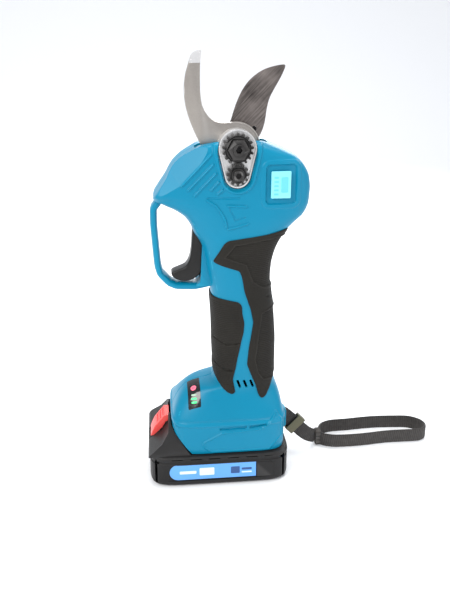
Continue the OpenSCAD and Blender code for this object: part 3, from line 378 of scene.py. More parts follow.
# height, front x, back x, half depth, squareness, step of the cavity in walls
housing_rows = np.array([
    (27, -36, 51.5, 34, 6, -3), (32, -37, 52, 35, 6, 0), (45, -36.8, 52, 35, 6, 0),
    (51.5, -36.4, 51.8, 34.6, 6, 0), (54, -36, 51.5, 33.4, 6, 0), (56.5, -35.2, 51.2, 31, 5.5, -0.4),
    (60, -33.6, 50.7, 28, 4.8, -0.8), (64, -31.4, 50, 25.3, 4, -1), (68, -28.6, 48.8, 23, 3.4, -1),
    (72, -24.8, 47.3, 21.6, 2.9, -1), (75, -19, 46.2, 21.1, 2.7, -1), (77, -11, 45.6, 20.9, 2.6, -1),
    (78.5, -4.5, 45.3, 20.8, 2.6, -1), (84, -2.4, 45.2, 20.6, 2.6, 0),
    (95, -2, 45, 20.5, 2.6, 0), (108.2, -2.4, 45, 20.5, 2.6, 0), (125.8, -2.7, 44, 20.5, 2.6, 0),
    (141.2, -3.5, 42.5, 20.5, 2.6, 0), (151.1, -4.5, 41, 20.5, 2.6, 0), (161, -6, 40, 20.5, 2.6, 0),
    (170.9, -8, 40.5, 20.5, 2.7, 0), (180.8, -9.5, 42.5, 20.5, 2.8, 0), (189.6, -12, 46, 20.5, 3, 0.4),
    (197, -16.5, 51, 20.4, 3.2, 0.8), (204, -19.5, 57.5, 20.8, 3.5, 1), (210, -24, 63.5, 21, 3.9, 1),
    (215, -31, 66, 21, 4.3, 1), (219, -39, 67, 21, 4.7, 1), (222.5, -45, 67.2, 21, 5, 1),
    (229, -41.5, 67.5, 21, 5, 0.6), (237, -36, 66.5, 21, 5, 0), (246, -31, 62, 21, 5, -0.5),
    (252, -25, 56, 20.4, 4.6, -1), (256.5, -17.5, 47, 19.4, 4, -1), (260, -10, 39, 17.8, 3.4, -1),
    (262, 2, 34, 15.5, 3, -1)])


def eased(at, xs, ys):
    """A smooth curve through the rows that never overshoots them."""
    h, step = np.diff(xs), np.diff(ys) / np.diff(xs)
    slope = np.zeros(len(xs))
    slope[0], slope[-1] = step[0], step[-1]
    for i in range(1, len(xs) - 1):
        if step[i - 1] * step[i] > 0:
            a, b = 2 * h[i] + h[i - 1], h[i] + 2 * h[i - 1]
            slope[i] = (a + b) / (a / step[i - 1] + b / step[i])
    k = np.clip(np.searchsorted(xs, at) - 1, 0, len(xs) - 2)
    t = (at - xs[k]) / h[k]
    return ((2 * t ** 3 - 3 * t ** 2 + 1) * ys[k] + (t ** 3 - 2 * t ** 2 + t) * h[k] * slope[k]
            + (3 * t ** 2 - 2 * t ** 3) * ys[k + 1] + (t ** 3 - t ** 2) * h[k] * slope[k + 1])


def soft_step(v):
    v = np.clip(v, 0, 1)
    return v * v * (3 - 2 * v)


def section_line(front, back, half, square, side, count, front_square=None):
    """Half of a rounded section, its points evenly spaced along it."""
    v = np.linspace(-1, 1, 4001)
    u = np.sin(v * math.pi / 2)
    x = (front + back) / 2 + (back - front) / 2 * u
    square = np.where(u < 0, front_square or square, square)
    y = side * half * np.clip(1 - np.abs(u) ** square, 0, 1) ** (1 / square)
    far = np.concatenate([[0], np.cumsum(np.hypot(np.diff(x), np.diff(y)))])
    at = np.linspace(0, far[-1], count)
    return np.stack([np.interp(at, far, x), np.interp(at, far, y)], 1)


def housing_grid(heights, side, grow, count):
    """Points of the housing's surface, moved out by grow."""
    cols = [eased(heights, housing_rows[:, 0], housing_rows[:, k]) for k in range(1, 5)]
    grid = np.zeros((len(heights), count, 3))
    for j, z in enumerate(heights):
        chamfered = cols[3][j] + 7 * soft_step((z - 222) / 5) * soft_step((262 - z) / 4)
        xy = section_line(cols[0][j] - grow, cols[1][j] + grow, cols[2][j] + grow, cols[3][j], side, count,
                          chamfered)
        grid[j, :, 0], grid[j, :, 1], grid[j, :, 2] = xy[:, 0], xy[:, 1], z
    return grid


def outward(grid, side):
    across = np.gradient(grid, axis=1)
    along = np.gradient(grid, axis=0)
    normal = np.cross(across, along) * -side
    size = np.linalg.norm(normal, axis=2, keepdims=True)
    return normal / np.maximum(size, 1e-9)


def line_gap(x, z, points):
    """Distance from a broken line in the side view."""
    nearest = np.full(np.shape(x), 1e9)
    for (ax, az), (bx, bz) in zip(points, points[1:]):
        dx, dz = bx - ax, bz - az
        t = np.clip(((x - ax) * dx + (z - az) * dz) / (dx * dx + dz * dz), 0, 1)
        nearest = np.minimum(nearest, np.hypot(x - ax - t * dx, z - az - t * dz))
    return nearest


def pear_gap(x, z, top_r, low_r, drop):
    """Distance outside the pear outline round the pivot and the lock pinion."""
    px, pz = np.abs(x - pivot_x), pivot_z - z
    b = (top_r - low_r) / drop
    a = math.sqrt(1 - b * b)
    k = -b * px + a * pz
    return np.where(k < 0, np.hypot(px, pz) - top_r,
                    np.where(k > a * drop, np.hypot(px, pz - drop) - low_r, a * px + b * pz - top_r))


def box_gap(x, z, x0, x1, z0, z1, corner):
    dx = np.abs(x - (x0 + x1) / 2) - (x1 - x0) / 2 + corner
    dz = np.abs(z - (z0 + z1) / 2) - (z1 - z0) / 2 + corner
    return np.hypot(np.maximum(dx, 0), np.maximum(dz, 0)) + np.minimum(np.maximum(dx, dz), 0) - corner


def inside(x, z, outline):
    """True inside a closed outline in the side view."""
    hit = np.zeros(np.shape(x), bool)
    for (ax, az), (bx, bz) in zip(outline, outline[1:] + outline[:1]):
        cross = (az > z) != (bz > z)
        hit ^= cross & (x < (bx - ax) * (z - az) / (bz - az + 1e-12) + ax)
    return hit


lock_drop = 1.2 * 29 / 2
stripes = [((-4.6, 254.3), (-25.1, 233.5)), ((-3.3, 247.8), (-20.7, 230.3)), ((-1.3, 241.7), (-16.6, 226.4)),
           ((0.8, 236.1), (-4.8, 230.4)), ((3.2, 230.2), (-0.3, 227.5))]
# height, half width, fade and line of the marks moulded on the near side only
side_marks = [(-0.5, 0.85, 0.5, [(-7, 224.6), (15.5, 224.3)]),
              (0.9, 0.95, 0.5, [(-7.3, 223.2), (-1, 219), (2.6, 214), (5, 209.5), (6.3, 204)]),
              (0.8, 0.95, 0.5, [(7, 219.2), (20.4, 218.2)]), (0.8, 0.95, 0.5, [(7.1, 202), (21.3, 206)]),
              (-0.5, 0.8, 0.5, [(8.4, 217), (12.7, 208.4), (19.1, 210.4)])]
flank = [(-7, 29), (38, 29), (48, 39), (47, 53), (44, 58), (38, 52), (32.3, 47.4), (1.3, 45.3), (-13.5, 37.3),
         (-12.7, 33.5)]


def moulded_relief(x, y, z, near):
    """How far the moulded ridges, grooves and pads stand out from the housing's side."""
    side_face = soft_step((np.abs(y) - 11) / 4)
    h = np.zeros(np.shape(x))
    for line in stripes:
        h += 1.0 * soft_step((0.95 - line_gap(x, z, line)) / 0.7)
    if near:
        for height, half_width, fade, line in side_marks:
            h += height * soft_step((half_width - line_gap(x, z, line)) / fade)
        pocket = box_gap(x, z, 33.8, 55.6, 219.6, 247, 3)
        h -= 1.2 * soft_step((0.6 - pocket) / 1.0)
        h += 0.5 * soft_step((2.2 - np.abs(pocket - 1.6)) / 1.2)
        rim = pear_gap(x, z, 13.6, 9.4, lock_drop + 0.6)
        h += 1.3 * soft_step((4.0 - rim) / 1.4)
    edge = line_gap(x, z, flank + flank[:1])
    h += np.where(inside(x, z, flank), 0.4, 0.0)
    h += 0.6 * soft_step((1.0 - edge) / 0.7)
    for slot in ([(0.6, 48.2), (19.4, 48.9)], [(23.6, 49.1), (35.0, 50.5)]):
        h -= 1.3 * soft_step((1.15 - line_gap(x, z, slot)) / 0.5)
    lip = 0.9 * soft_step((z - 49.5) / 2.2) * soft_step((54.8 - z) / 1.1)
    return h * side_face + lip


def shoulder(x, z):
    """How far a point lies past the edge where the head's flat side is chamfered off."""
    upper = (-(x + 9.3) * 0.727 + (z - 251) * 0.687)
    lower = (-(x + 26) * 0.533 + (z - 233.6) * 0.846)
    return np.minimum(upper, lower)


def closed_half(grid, side):
    """Closed solid from a grid of rows: side surface, flat middle face, top and bottom."""
    rows, cols = grid.shape[:2]
    faces = []
    for j in range(rows - 1):
        a = j * cols
        for i in range(cols - 1):
            q = (a + i, a + i + 1, a + cols + i + 1, a + cols + i)
            faces.append(q if side < 0 else q[::-1])
        q = (a + cols - 1, a, a + cols, a + 2 * cols - 1)
        faces.append(q if side < 0 else q[::-1])
    low, top = tuple(range(cols)), tuple(range((rows - 1) * cols, rows * cols))
    faces += [low[::-1], top] if side < 0 else [low, top[::-1]]
    return grid.reshape(-1, 3), faces


def tool_piece(name, points, faces):
    """A plain closed mesh that cuts or joins another, in millimetres."""
    mesh = bpy.data.meshes.new(name)
    mesh.from_pydata([tuple(c * 0.001 for c in p) for p in points], [], faces)
    shape = bmesh.new()
    shape.from_mesh(mesh)
    bmesh.ops.recalc_face_normals(shape, faces=shape.faces)
    shape.to_mesh(mesh)
    shape.free()
    made = bpy.data.objects.new(name, mesh)
    scene.collection.objects.link(made)
    return made


def plate(outline, y0, y1, flare=0.0):
    """A slab with this outline in the side view, from y0 to y1, wider at y0 by flare."""
    n = len(outline)
    mid = np.mean(np.array(outline), axis=0)
    wide = []
    for x, z in outline:
        away = np.array((x, z)) - mid
        wide.append(np.array((x, z)) + away / max(np.linalg.norm(away), 1e-9) * flare)
    points = [(x, y0, z) for x, z in wide] + [(x, y1, z) for x, z in outline]
    faces = [tuple(range(n)), tuple(reversed(range(n, 2 * n)))]
    faces += [(i, n + i, n + (i + 1) % n, (i + 1) % n) for i in range(n)]
    return tool_piece("cutter", points, faces)


def peg(x, z, r, y0, y1, flare=0.0, count=48):
    ring = [(x + r * math.cos(2 * math.pi * k / count), z + r * math.sin(2 * math.pi * k / count))
            for k in range(count)]
    return plate(ring, y0, y1, flare)


def brick(low, high):
    corners = [(low[0], low[2]), (high[0], low[2]), (high[0], high[2]), (low[0], high[2])]
    return plate(corners, low[1], high[1])


def bar_between(a, b, width):
    a, b = np.array(a, float), np.array(b, float)
    t = (b - a) / np.linalg.norm(b - a)
    n = np.array((-t[1], t[0])) * width / 2
    return [tuple(p) for p in (a + n, a - n, b - n, b + n)]


def rounded(outline, radius, steps=5):
    """The outline with each corner rounded."""
    made = []
    pts = [np.array(p, float) for p in outline]
    for i, p in enumerate(pts):
        a, b = pts[i - 1] - p, pts[(i + 1) % len(pts)] - p
        r = min(radius, 0.45 * np.linalg.norm(a), 0.45 * np.linalg.norm(b))
        s, e = p + a / np.linalg.norm(a) * r, p + b / np.linalg.norm(b) * r
        for k in range(steps + 1):
            t = k / steps
            made.append(tuple((1 - t) ** 2 * s + 2 * t * (1 - t) * p + t * t * e))
    return made


def combine(made, others, how):
    """Cuts, joins or trims a piece with others, which are then gone."""
    for o in others:
        step = made.modifiers.new("step", "BOOLEAN")
        step.operation = how
        step.solver = "EXACT"
        step.object = o
    bpy.context.view_layer.update()
    shown = made.evaluated_get(bpy.context.evaluated_depsgraph_get())
    mesh = bpy.data.meshes.new_from_object(shown)
    made.modifiers.clear()
    made.data = mesh
    for o in others:
        bpy.data.objects.remove(o)
    return made


def dressed(made, material, sharp):
    """Gives a piece one finish and smooth faces with crisp corners."""
    made.data.materials.clear()
    made.data.materials.append(material)
    smooth_up(made, sharp)


head_lines = np.arange(197.0, 262.01, 0.36)
heights = np.concatenate([np.arange(27.0, 60, 0.45), np.arange(60.0, 197, 1.1), head_lines, [262.0]])
heights = np.unique(np.round(heights, 3))
guard_line = []
guard_bends = [(-40, 221), (-45, 214.5), (-45.3, 203), (-43.4, 172), (-41.8, 165.5), (-35.4, 158.2),
               (-30, 155.6), (-16, 155), (-8, 156.5), (0, 159)]
for (ax, az), (bx, bz) in zip(guard_bends, guard_bends[1:]):
    guard_line += [Vector((ax + (bx - ax) * t, az + (bz - az) * t, 0)) for t in (0.12, 0.5, 0.88)]
case_screws_at = [(-26, 230, 18.5), (58, 222, 18.4), (46, 200, 16), (34, 150, 15.5), (35, 100, 16.5),
                  (-27, 52, 27), (44, 57, 23)]

blue_nylon = finish("blue_nylon", (0.0, 0.195, 0.33), 0.36, mottle=0.05, patch=18, grain=2200, bump=0.018,
                    rough_spread=0.07, wear=(0.02, 0.36, 0.52), Specular_IOR_Level=0.22)


def pear_outline(top_r, low_r, drop):
    b = math.degrees(math.asin((top_r - low_r) / drop))
    upper = [math.radians(-b + (180 + 2 * b) * i / 32) for i in range(33)]
    lower = [math.radians(180 + b + (180 - 2 * b) * i / 24) for i in range(25)]
    return ([(pivot_x + top_r * math.cos(a), pivot_z + top_r * math.sin(a)) for a in upper]
            + [(pivot_x + low_r * math.cos(a), pivot_z - drop + low_r * math.sin(a)) for a in lower])


trigger_slot_half = 7.2
cheek_half = 8.8
guard_half_depth = 8
guard_half_width = 2.7


def housing_half(name, side):
    near = side < 0
    grid = housing_grid(heights, side, 0, 400 if near else 290)
    x, y, z = grid[..., 0], grid[..., 1], grid[..., 2]
    relief = moulded_relief(x, y, z, near)
    seam = np.where(np.abs(y) < 0.45, -0.3 * (1 - np.abs(y) / 0.45), 0)
    grid += outward(grid, side) * (relief + seam)[..., None]
    past = shoulder(grid[..., 0], grid[..., 2])
    limit = np.where(past > 0, 21 - 0.75 * past, 40)
    grid[..., 1] = side * np.minimum(np.abs(grid[..., 1]), limit)
    grid[:, 0, 1] = grid[:, -1, 1] = 0
    half = tool_piece(name, *closed_half(grid, side))
    # the finger guard, a rounded bar
    ring = []
    for i, at in enumerate(guard_line):
        t = (guard_line[min(i + 1, len(guard_line) - 1)] - guard_line[max(i - 1, 0)]).normalized()
        for k in range(17):
            a = math.pi * k / 16
            u = -guard_half_width * math.copysign(abs(math.cos(a)) ** 0.7, math.cos(a))
            depth = side * guard_half_depth * math.sin(a) ** 0.7 if 0 < k < 16 else 0
            ring.append((at.x - t.y * u, depth, at.y + t.x * u))
    guard = tool_piece("guard", *closed_half(np.array(ring).reshape(len(guard_line), 17, 3), side))
    lug = rounded([(46, 28.5), (55.4, 28.5), (57.2, 30.5), (57.2, 44.5), (55.4, 46.5), (46, 46.5)], 1.2)
    web = [(-15, 156), (-15, 157.5), (-12.4, 159.2), (-11.8, 164), (-11.4, 172), (-11, 180), (-10.4, 189),
           (3, 193), (3, 156)]
    cheek = sorted((side * 0.02, side * cheek_half))
    combine(half, [guard, plate(lug, min(0, side * 3.5), max(0, side * 3.5)),
                   plate(web, *cheek)], "UNION")
    # the cavity and the openings
    cavity_rows = housing_rows.copy()
    cavity_rows[:, 0] += cavity_rows[:, 5] * wall
    cavity = np.zeros((len(cavity_rows), 60, 3))
    for j, row in enumerate(cavity_rows):
        xy = section_line(row[1] + wall, row[2] - wall, row[3] - wall, row[4], side, 59)
        cavity[j, :59, :2] = xy
        cavity[j, 59, :2] = (row[2] - wall, -side * 1)
        cavity[j, 0, :2] = (row[1] + wall, -side * 1)
        cavity[j, :, 2] = row[0]
    cuts = [tool_piece("cutter", *closed_half(cavity, side))]
    cuts.append(plate([(-70, 25), (-20.3, 25), (-36.6, 47), (-70, 47)], -60, 60))
    cuts.append(brick((-60, -27, 0), (-20, 27, 46)))
    cuts.append(plate([(-30, 159.4), (-1.5, 159.4), (-1.5, 198), (-4, 211), (-19, 211), (-30, 198)],
                      -trigger_slot_half, trigger_slot_half))
    cuts.append(brick((-15, -8.9, 244), (36, 1.8, 290)))
    cuts.append(peg(pivot_x, pivot_z, 14, -8.9, 16.8))
    cuts.append(brick((52.3, -10, 31.1), (55, 10, 44)))
    for i in range(3):
        vent = rounded(bar_between((17 + 5 * i, 76), (14.5 + 5 * i, 82.5), 1.9), 0.8)
        cuts.append(plate(vent, side * 40, side * 10))
    if near:
        cuts.append(plate(pear_outline(13.6, 9.4, lock_drop + 0.6), -19.6, -5))
        cuts.append(plate(pear_outline(13.6, 9.4, lock_drop + 0.6), -23.2, -19.5, 2.6))
    else:
        cuts.append(peg(pivot_x, pivot_z, 10.6, 5, 30))
        for x0, z0, reach in case_screws_at:
            cuts.append(peg(x0, z0, 3.1, reach - 2, 60))
    combine(half, cuts, "DIFFERENCE")
    dressed(half, blue_nylon, 38)
    return half


housing_near = housing_half("housing_near", -1)
housing_far = housing_half("housing_far", 1)
for half, node in ((housing_near, "shell_front"), (housing_far, "shell_rear")):
    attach(half, "tool")
    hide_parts(node)


# ---- Grip panels ----
# Soft black rubber, moulded over the grip in four pieces that meet along the housing's seam.
# Each has a raised border, crease lines and fields of fine ribs.
black_rubber = finish("black_rubber", (0.0165, 0.015, 0.0125), 0.6, mottle=0.3, patch=30, grain=1500,
                      bump=0.09, rough_spread=0.14, wear=(0.06, 0.055, 0.048), Specular_IOR_Level=0.14)
front_edge = rounded([(-12, 150), (6, 148.3), (15, 146.7), (17.5, 144), (18, 136.8), (19.5, 130.2),
                      (19, 122.5), (17.5, 115.9), (16, 108.2), (14.5, 101), (13, 91.7), (11, 83.4),
                      (12, 77.4), (13, 73), (10.5, 71.4), (7, 73), (0, 79.6), (-4, 86.2), (-12, 86.2)],
                     1.5, 3)
rear_edge = rounded([(52, 200.6), (36, 197.3), (7.5, 193.5), (4.5, 191.2), (-3.5, 177.5), (1.5, 175.3),
                     (8.5, 173.1), (15.5, 170.9), (17.5, 166), (19.5, 154.4), (24.3, 140.1), (26.3, 130.2),
                     (25, 120.8), (23, 108.2), (22, 95.5), (25, 87.3), (29, 77.4), (31, 69.7), (33.5, 67),
                     (37, 68.6), (41, 74.1), (44, 81.8), (52, 84)], 1.5, 3)
upper_field = [(60, 195), (43.1, 195.2), (12.2, 190.2), (5, 181.3), (20.4, 175.4), (25.5, 162.5),
               (32.3, 157.6), (38.2, 155.9), (60, 154)]
lower_field = [(60, 140.5), (40.1, 139.2), (32.7, 137.3), (30.4, 120), (28, 99.3), (30.5, 88), (35, 82),
               (60, 80)]
front_creases = [[(-10, 118.5), (6, 112), (19, 114.3)], [(-6, 97), (3, 91.2), (15, 90.4)]]
rear_creases = [[(37, 149.5), (43, 147), (60, 146.5)]]
ribs_pitch = 1.5


def panel_relief(x, z, front):
    """Border, recessed ribbed fields and creases of a rubber panel."""
    edge = front_edge if front else rear_edge
    h = -0.6 * soft_step((1.1 - line_gap(x, z, edge + edge[:1])) / 1.0)
    ribs = 0.3 * (0.5 + 0.5 * np.cos(2 * math.pi * z / ribs_pitch)) ** 2
    if front:
        h += ribs * soft_step((line_gap(x, z, edge + edge[:1]) - 2) / 1)
    for field in () if front else (upper_field, lower_field):
        rim = line_gap(x, z, field + field[:1])
        within = inside(x, z, field)
        h += np.where(within, (ribs - 0.65) * soft_step(rim / 0.8), 0)
        h += 0.5 * soft_step((1.0 - rim) / 0.7)
    for line in front_creases if front else rear_creases:
        h -= 0.85 * soft_step((0.9 - line_gap(x, z, line)) / 0.6)
    return np.maximum(h, -0.9)


def grip_panel(name, node, front, side):
    low, high = (69, 151) if front else (65, 203)
    levels = np.arange(low, high, 0.5)
    grid = housing_grid(levels, side, 1.2, 190)
    relief = panel_relief(grid[..., 0], grid[..., 2], front)
    grid += outward(grid, side) * relief[..., None]
    grid[:, 0, 1] = grid[:, -1, 1] = side * 0.12
    grid[..., 1] = side * np.maximum(np.abs(grid[..., 1]), 0.12)
    made = tool_piece(name, *closed_half(grid, side))
    outline = front_edge if front else rear_edge
    prism = plate(outline, min(side * 0.1, side * 40), max(side * 0.1, side * 40))
    combine(made, [prism], "INTERSECT")
    core = tool_piece("cutter", *closed_half(housing_grid(np.arange(60, 210, 3.0), side, -0.03, 90), side))
    cuts = [core]
    if side > 0:
        cuts += [peg(x0, z0, 3.4, 0, 50) for x0, z0, reach in case_screws_at]
    combine(made, cuts, "DIFFERENCE")
    dressed(made, black_rubber, 42)
    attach(made, "tool")
    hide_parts(node)


grip_panel("rubber_front_near", "grip_front_near", True, -1)
grip_panel("rubber_rear_near", "grip_rear_near", False, -1)
grip_panel("rubber_front_far", "grip_front_far", True, 1)
grip_panel("rubber_rear_far", "grip_rear_far", False, 1)


# ---- Fixed hook blade ----
# Forged steel, milled flat, with rounded edges, a rim at the hub and a ground tip facet whose near-white
# colour is a painted reflection.
# Two screws hold it to the gear case, and the pivot bolt goes through it.
def pillow(name, outline, y0, y1, r, material, steps=4, sharp=40):
    """A flat piece with this outline, from y0 to y1, its edges rounded by r."""
    pts = np.array(outline, float)
    keep = [i for i in range(len(pts)) if np.linalg.norm(pts[i] - pts[i - 1]) > 0.05]
    pts = pts[keep]
    n = len(pts)
    if sum(pts[i - 1][0] * pts[i][1] - pts[i][0] * pts[i - 1][1] for i in range(n)) < 0:
        pts = pts[::-1]
    before, after = pts - np.roll(pts, 1, axis=0), np.roll(pts, -1, axis=0) - pts
    before /= np.linalg.norm(before, axis=1, keepdims=True)
    after /= np.linalg.norm(after, axis=1, keepdims=True)
    inner = np.stack([-(before + after)[:, 1], (before + after)[:, 0]], 1)
    lean = np.maximum(np.sum(inner * np.stack([-after[:, 1], after[:, 0]], 1), axis=1), 0.35)
    inner = inner / lean[:, None]
    levels = [(y0 + r * (1 - math.cos(a)), r * (1 - math.sin(a))) for a in np.linspace(0, math.pi / 2, steps)]
    levels += [(y1 - r * (1 - math.cos(a)), r * (1 - math.sin(a)))
               for a in np.linspace(math.pi / 2, 0, steps)]
    points = []
    for y, inset in levels:
        points += [(q[0], y, q[1]) for q in pts + inner * inset]
    faces = ring_faces(len(levels), n)
    faces += [tuple(reversed(range(n))), tuple((len(levels) - 1) * n + i for i in range(n))]
    made = tool_piece(name, points, faces)
    if material:
        made.data.materials.append(material)
    smooth_up(made, sharp)
    return made


def flat_line(points, steps=4):
    return [(q.x, q.y) for q in through([(x, z, 0) for x, z in points], steps)]


hook_steel = finish("hook_steel", (0.36, 0.33, 0.30), 0.36, metal=0.92, mottle=0.22, patch=28, grain=900,
                    bump=0.05, stretch=(1, 1, 9), turn=(0, -10, 0), rough_spread=0.12, wear=(0.8, 0.78, 0.75))
# The ground tip facet is real geometry; its near-white steel is a painted reflection.
tip_steel_painted_reflection = finish("tip_steel_painted_reflection", (0.86, 0.85, 0.84), 0.24, metal=0.9, mottle=0.08, grain=1800, bump=0.03,
                      stretch=(9, 1, 1), rough_spread=0.08)
hook_back = flat_line([(-23.2, 63.4), (-26.5, 63), (-29.5, 61.4), (-31.2, 58.5), (-32.5, 54.5), (-34.4, 48),
                       (-35.4, 41), (-35.4, 34), (-34.4, 26.5), (-32, 18), (-28.6, 9.5), (-24.5, 1),
                       (-21, -6), (-15, -12.5)])
hook_front = flat_line([(-8, 16.2), (-13, 16.9), (-17.2, 19), (-20.4, 22.6), (-22.8, 27), (-24, 32),
                        (-24.5, 39), (-24.5, 48), (-24.2, 56), (-23.2, 63.3)])
hub_low = [(17 * math.cos(a), 17 * math.sin(a))
           for a in np.linspace(math.radians(224), math.radians(464), 50)]
hook_shape = [(pivot_x + x, pivot_z + z) for x, z in hook_back + hub_low + hook_front]
hook = pillow("hook", hook_shape, -7.5, -3, 0.55, hook_steel)
# second slot: the near-white steel of the ground tip facet, a painted reflection
hook.data.materials.append(tip_steel_painted_reflection)
tip = plate([(-30, 308.5), (0, 308.5), (0, 330), (-30, 330)], -12, -7.45)
tip.data.transform(Matrix.Translation((0, -0.0075, 0.3135)) @ Matrix.Rotation(math.radians(-17), 4, "X")
                   @ Matrix.Translation((0, 0.0075, -0.3135)))
tip.data.materials.append(tip_steel_painted_reflection)
bore = peg(pivot_x, pivot_z, 5.05, -30, 30)
holes = [peg(pivot_x + x, pivot_z + z, 1.65, -30, 30) for x, z in ((-17, -4), (-9.5, -13.2))]
combine(hook, [tip, bore] + holes, "DIFFERENCE")
smooth_up(hook, 25)
rim = []
for r, y in ((15.9, -7.45), (16.0, -7.85), (16.25, -8.05), (16.65, -8.05), (16.95, -7.85), (17, -7.45)):
    rim.append([(pivot_x + r * math.cos(a), y, pivot_z + r * math.sin(a))
                for a in np.linspace(math.radians(-5), math.radians(105), 60)])
rim_points = [q for ring in rim for q in ring]
rim_faces = [(j * 60 + i, j * 60 + i + 1, (j + 1) * 60 + i + 1, (j + 1) * 60 + i)
             for j in range(5) for i in range(59)]
rim_faces += [tuple(i for i in range(60)) + tuple(5 * 60 + i for i in reversed(range(60))),
              tuple(j * 60 for j in range(6)), tuple(j * 60 + 59 for j in reversed(range(6)))]
hook_rim = tool_piece("hook_rim", rim_points, rim_faces)
hook_rim.data.materials.append(hook_steel)
smooth_up(hook_rim, 30)
for part in (hook, hook_rim):
    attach(part, "tool")
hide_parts("hook_blade")
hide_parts("hook_blade")

# ---- Moving blade ----
# Hardened steel, surface ground on the slant, dark from the oven with brighter grind marks.
# It turns on the pivot bolt, and a small black screw sits in its hole.
blade_steel = finish("blade_steel", (0.15, 0.13, 0.12), 0.4, metal=0.9, mottle=0.75, patch=70, grain=60,
                     bump=0.07, stretch=(1, 1, 20), turn=(0, -46, 0), rough_spread=0.2)
soften("moving_blade", blade_steel, 0.3)
blade_screw_at = (pivot_x + 13.2, pivot_z + 11.6)
blade_screw_r = 1.8
screw_x, screw_z = blade_screw_at
screw_ring = [(screw_x + blade_screw_r * math.cos(a), screw_z + blade_screw_r * math.sin(a))
              for a in np.linspace(0, 2 * math.pi, 33)[:-1]]
blade_screw = pillow("blade_screw", screw_ring, -2.6, 0.6, 0.3, None)
combine(blade_screw, [peg(*blade_screw_at, 0.8, -9, -1.6, 0, 6)], "DIFFERENCE")

# ---- Plate, nut and lock gears ----
# A cast plate under a toothed nut; the small gear beside it keeps the nut from turning.
# Every screw of the tool has the same black oxide finish.
cast_alloy = finish("cast_alloy", (0.62, 0.61, 0.60), 0.34, metal=0.9, mottle=0.16, patch=60, grain=1200,
                    bump=0.12, rough_spread=0.12, wear=(0.9, 0.9, 0.9))
black_oxide = finish("black_oxide", (0.009, 0.0085, 0.0085), 0.26, metal=0.45, mottle=0.3, patch=70,
                     grain=1600, bump=0.05, rough_spread=0.12, wear=(0.26, 0.25, 0.24),
                     Specular_IOR_Level=0.3)
dressed(blade_screw, black_oxide, 40)
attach(blade_screw, "blade")
for node, width in (("front_plate", 0.5), ("gear_case", 0.5)):
    soften(node, cast_alloy, width)
for node, width in (("toothed_nut", 0.3), ("lock_pinion", 0.3), ("lock_screw", 0.35), ("pivot_bolt", 0.4),
                    ("case_screws", 0.25), ("hook_screws", 0.2), ("shell_screws", 0.25),
                    ("battery_screws", 0.25)):
    soften(node, black_oxide, width)

# ---- Drive ----
# Hardened gears, a bronze bush and washer, and a small brushless motor, all inside the housing.
# The CAD parts keep their shape and get fine rounded edges.
gear_steel = finish("gear_steel", (0.38, 0.37, 0.37), 0.32, metal=0.95, mottle=0.15, grain=1500, bump=0.05,
                    stretch=(1, 1, 6), wear=(0.8, 0.8, 0.8))
bronze = finish("bronze", (0.55, 0.36, 0.14), 0.34, metal=0.95, mottle=0.2, grain=1300, bump=0.04)
motor_steel = finish("motor_steel", (0.15, 0.155, 0.165), 0.4, metal=0.85, mottle=0.12, grain=1800, bump=0.04)
winding = finish("winding", (0.5, 0.2, 0.07), 0.3, metal=0.6, mottle=0.25, grain=1100, bump=0.25,
                 stretch=(1, 1, 12))
sleeve = finish("lead_sleeve", (0.6, 0.5, 0.05), 0.5, mottle=0.1, grain=2500, bump=0.02)
spring_wire = finish("spring_wire", (0.55, 0.55, 0.56), 0.25, metal=1.0, mottle=0.05, grain=2500, bump=0.02)
for node in ("fan_gear", "drive_pins", "bevel_pinion", "carrier", "planet_1", "planet_2", "planet_3",
             "ring_gear", "trigger_pin"):
    soften(node, gear_steel, 0.12)
for node in ("pinion_bush", "thrust_washer", "sun_gear"):
    soften(node, bronze, 0.12)
for node in ("motor_can", "rotor"):
    soften(node, motor_steel, 0.25)
soften("stator", winding, 0.2)
soften("motor_leads", sleeve, 0, False)
for node in ("trigger_spring", "latch_spring"):
    soften(node, spring_wire, 0, False)

# ---- Trigger ----
# Glass-filled black nylon, one finger wide, crowned, with a hooked toe.
# It hangs on a pin through the housing; the switch behind it is of the same nylon.
black_nylon = finish("black_nylon", (0.011, 0.0105, 0.01), 0.34, mottle=0.2, patch=45, grain=2400, bump=0.03,
                     rough_spread=0.1, wear=(0.05, 0.047, 0.045), Specular_IOR_Level=0.25)
trigger_shape = flat_line([(-17.3, 201), (-18, 189), (-19.4, 178), (-22.5, 171.5), (-27, 169), (-33, 166.4),
                           (-32.8, 163.6), (-29.5, 160.8), (-24, 159.6), (-18.5, 160.4), (-13.5, 163.5),
                           (-10, 168), (-9, 178), (-9.3, 187), (-8.6, 198), (-7.6, 205), (-10.4, 208.8),
                           (-14, 208.4), (-17, 205), (-17.3, 201)])
trigger = pillow("finger_trigger", trigger_shape[:-1], -6.5, 6.5, 1.5, black_nylon, 6, 50)
combine(trigger, [peg(-12, 205, 1.55, -20, 20)], "DIFFERENCE")
smooth_up(trigger, 50)
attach(trigger, "trigger")
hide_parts("trigger")
for node in ("trigger_switch", "terminal_block", "motor_cap"):
    soften(node, black_nylon, 0.3)

# ---- Control board and contacts ----
# A green board with its parts, held in the base over the battery.
# Its plated contacts slide over the battery's clips.
board_green = finish("board_green", (0.012, 0.12, 0.05), 0.35, mottle=0.2, patch=120, grain=1800, bump=0.05)
contact_copper = finish("contact_copper", (0.75, 0.45, 0.24), 0.28, metal=1.0, mottle=0.12, grain=1800,
                        bump=0.03)
for node in ("control_board", "cell_board"):
    soften(node, board_green, 0.2)
for node in ("terminals", "battery_clips"):
    soften(node, contact_copper, 0.08)

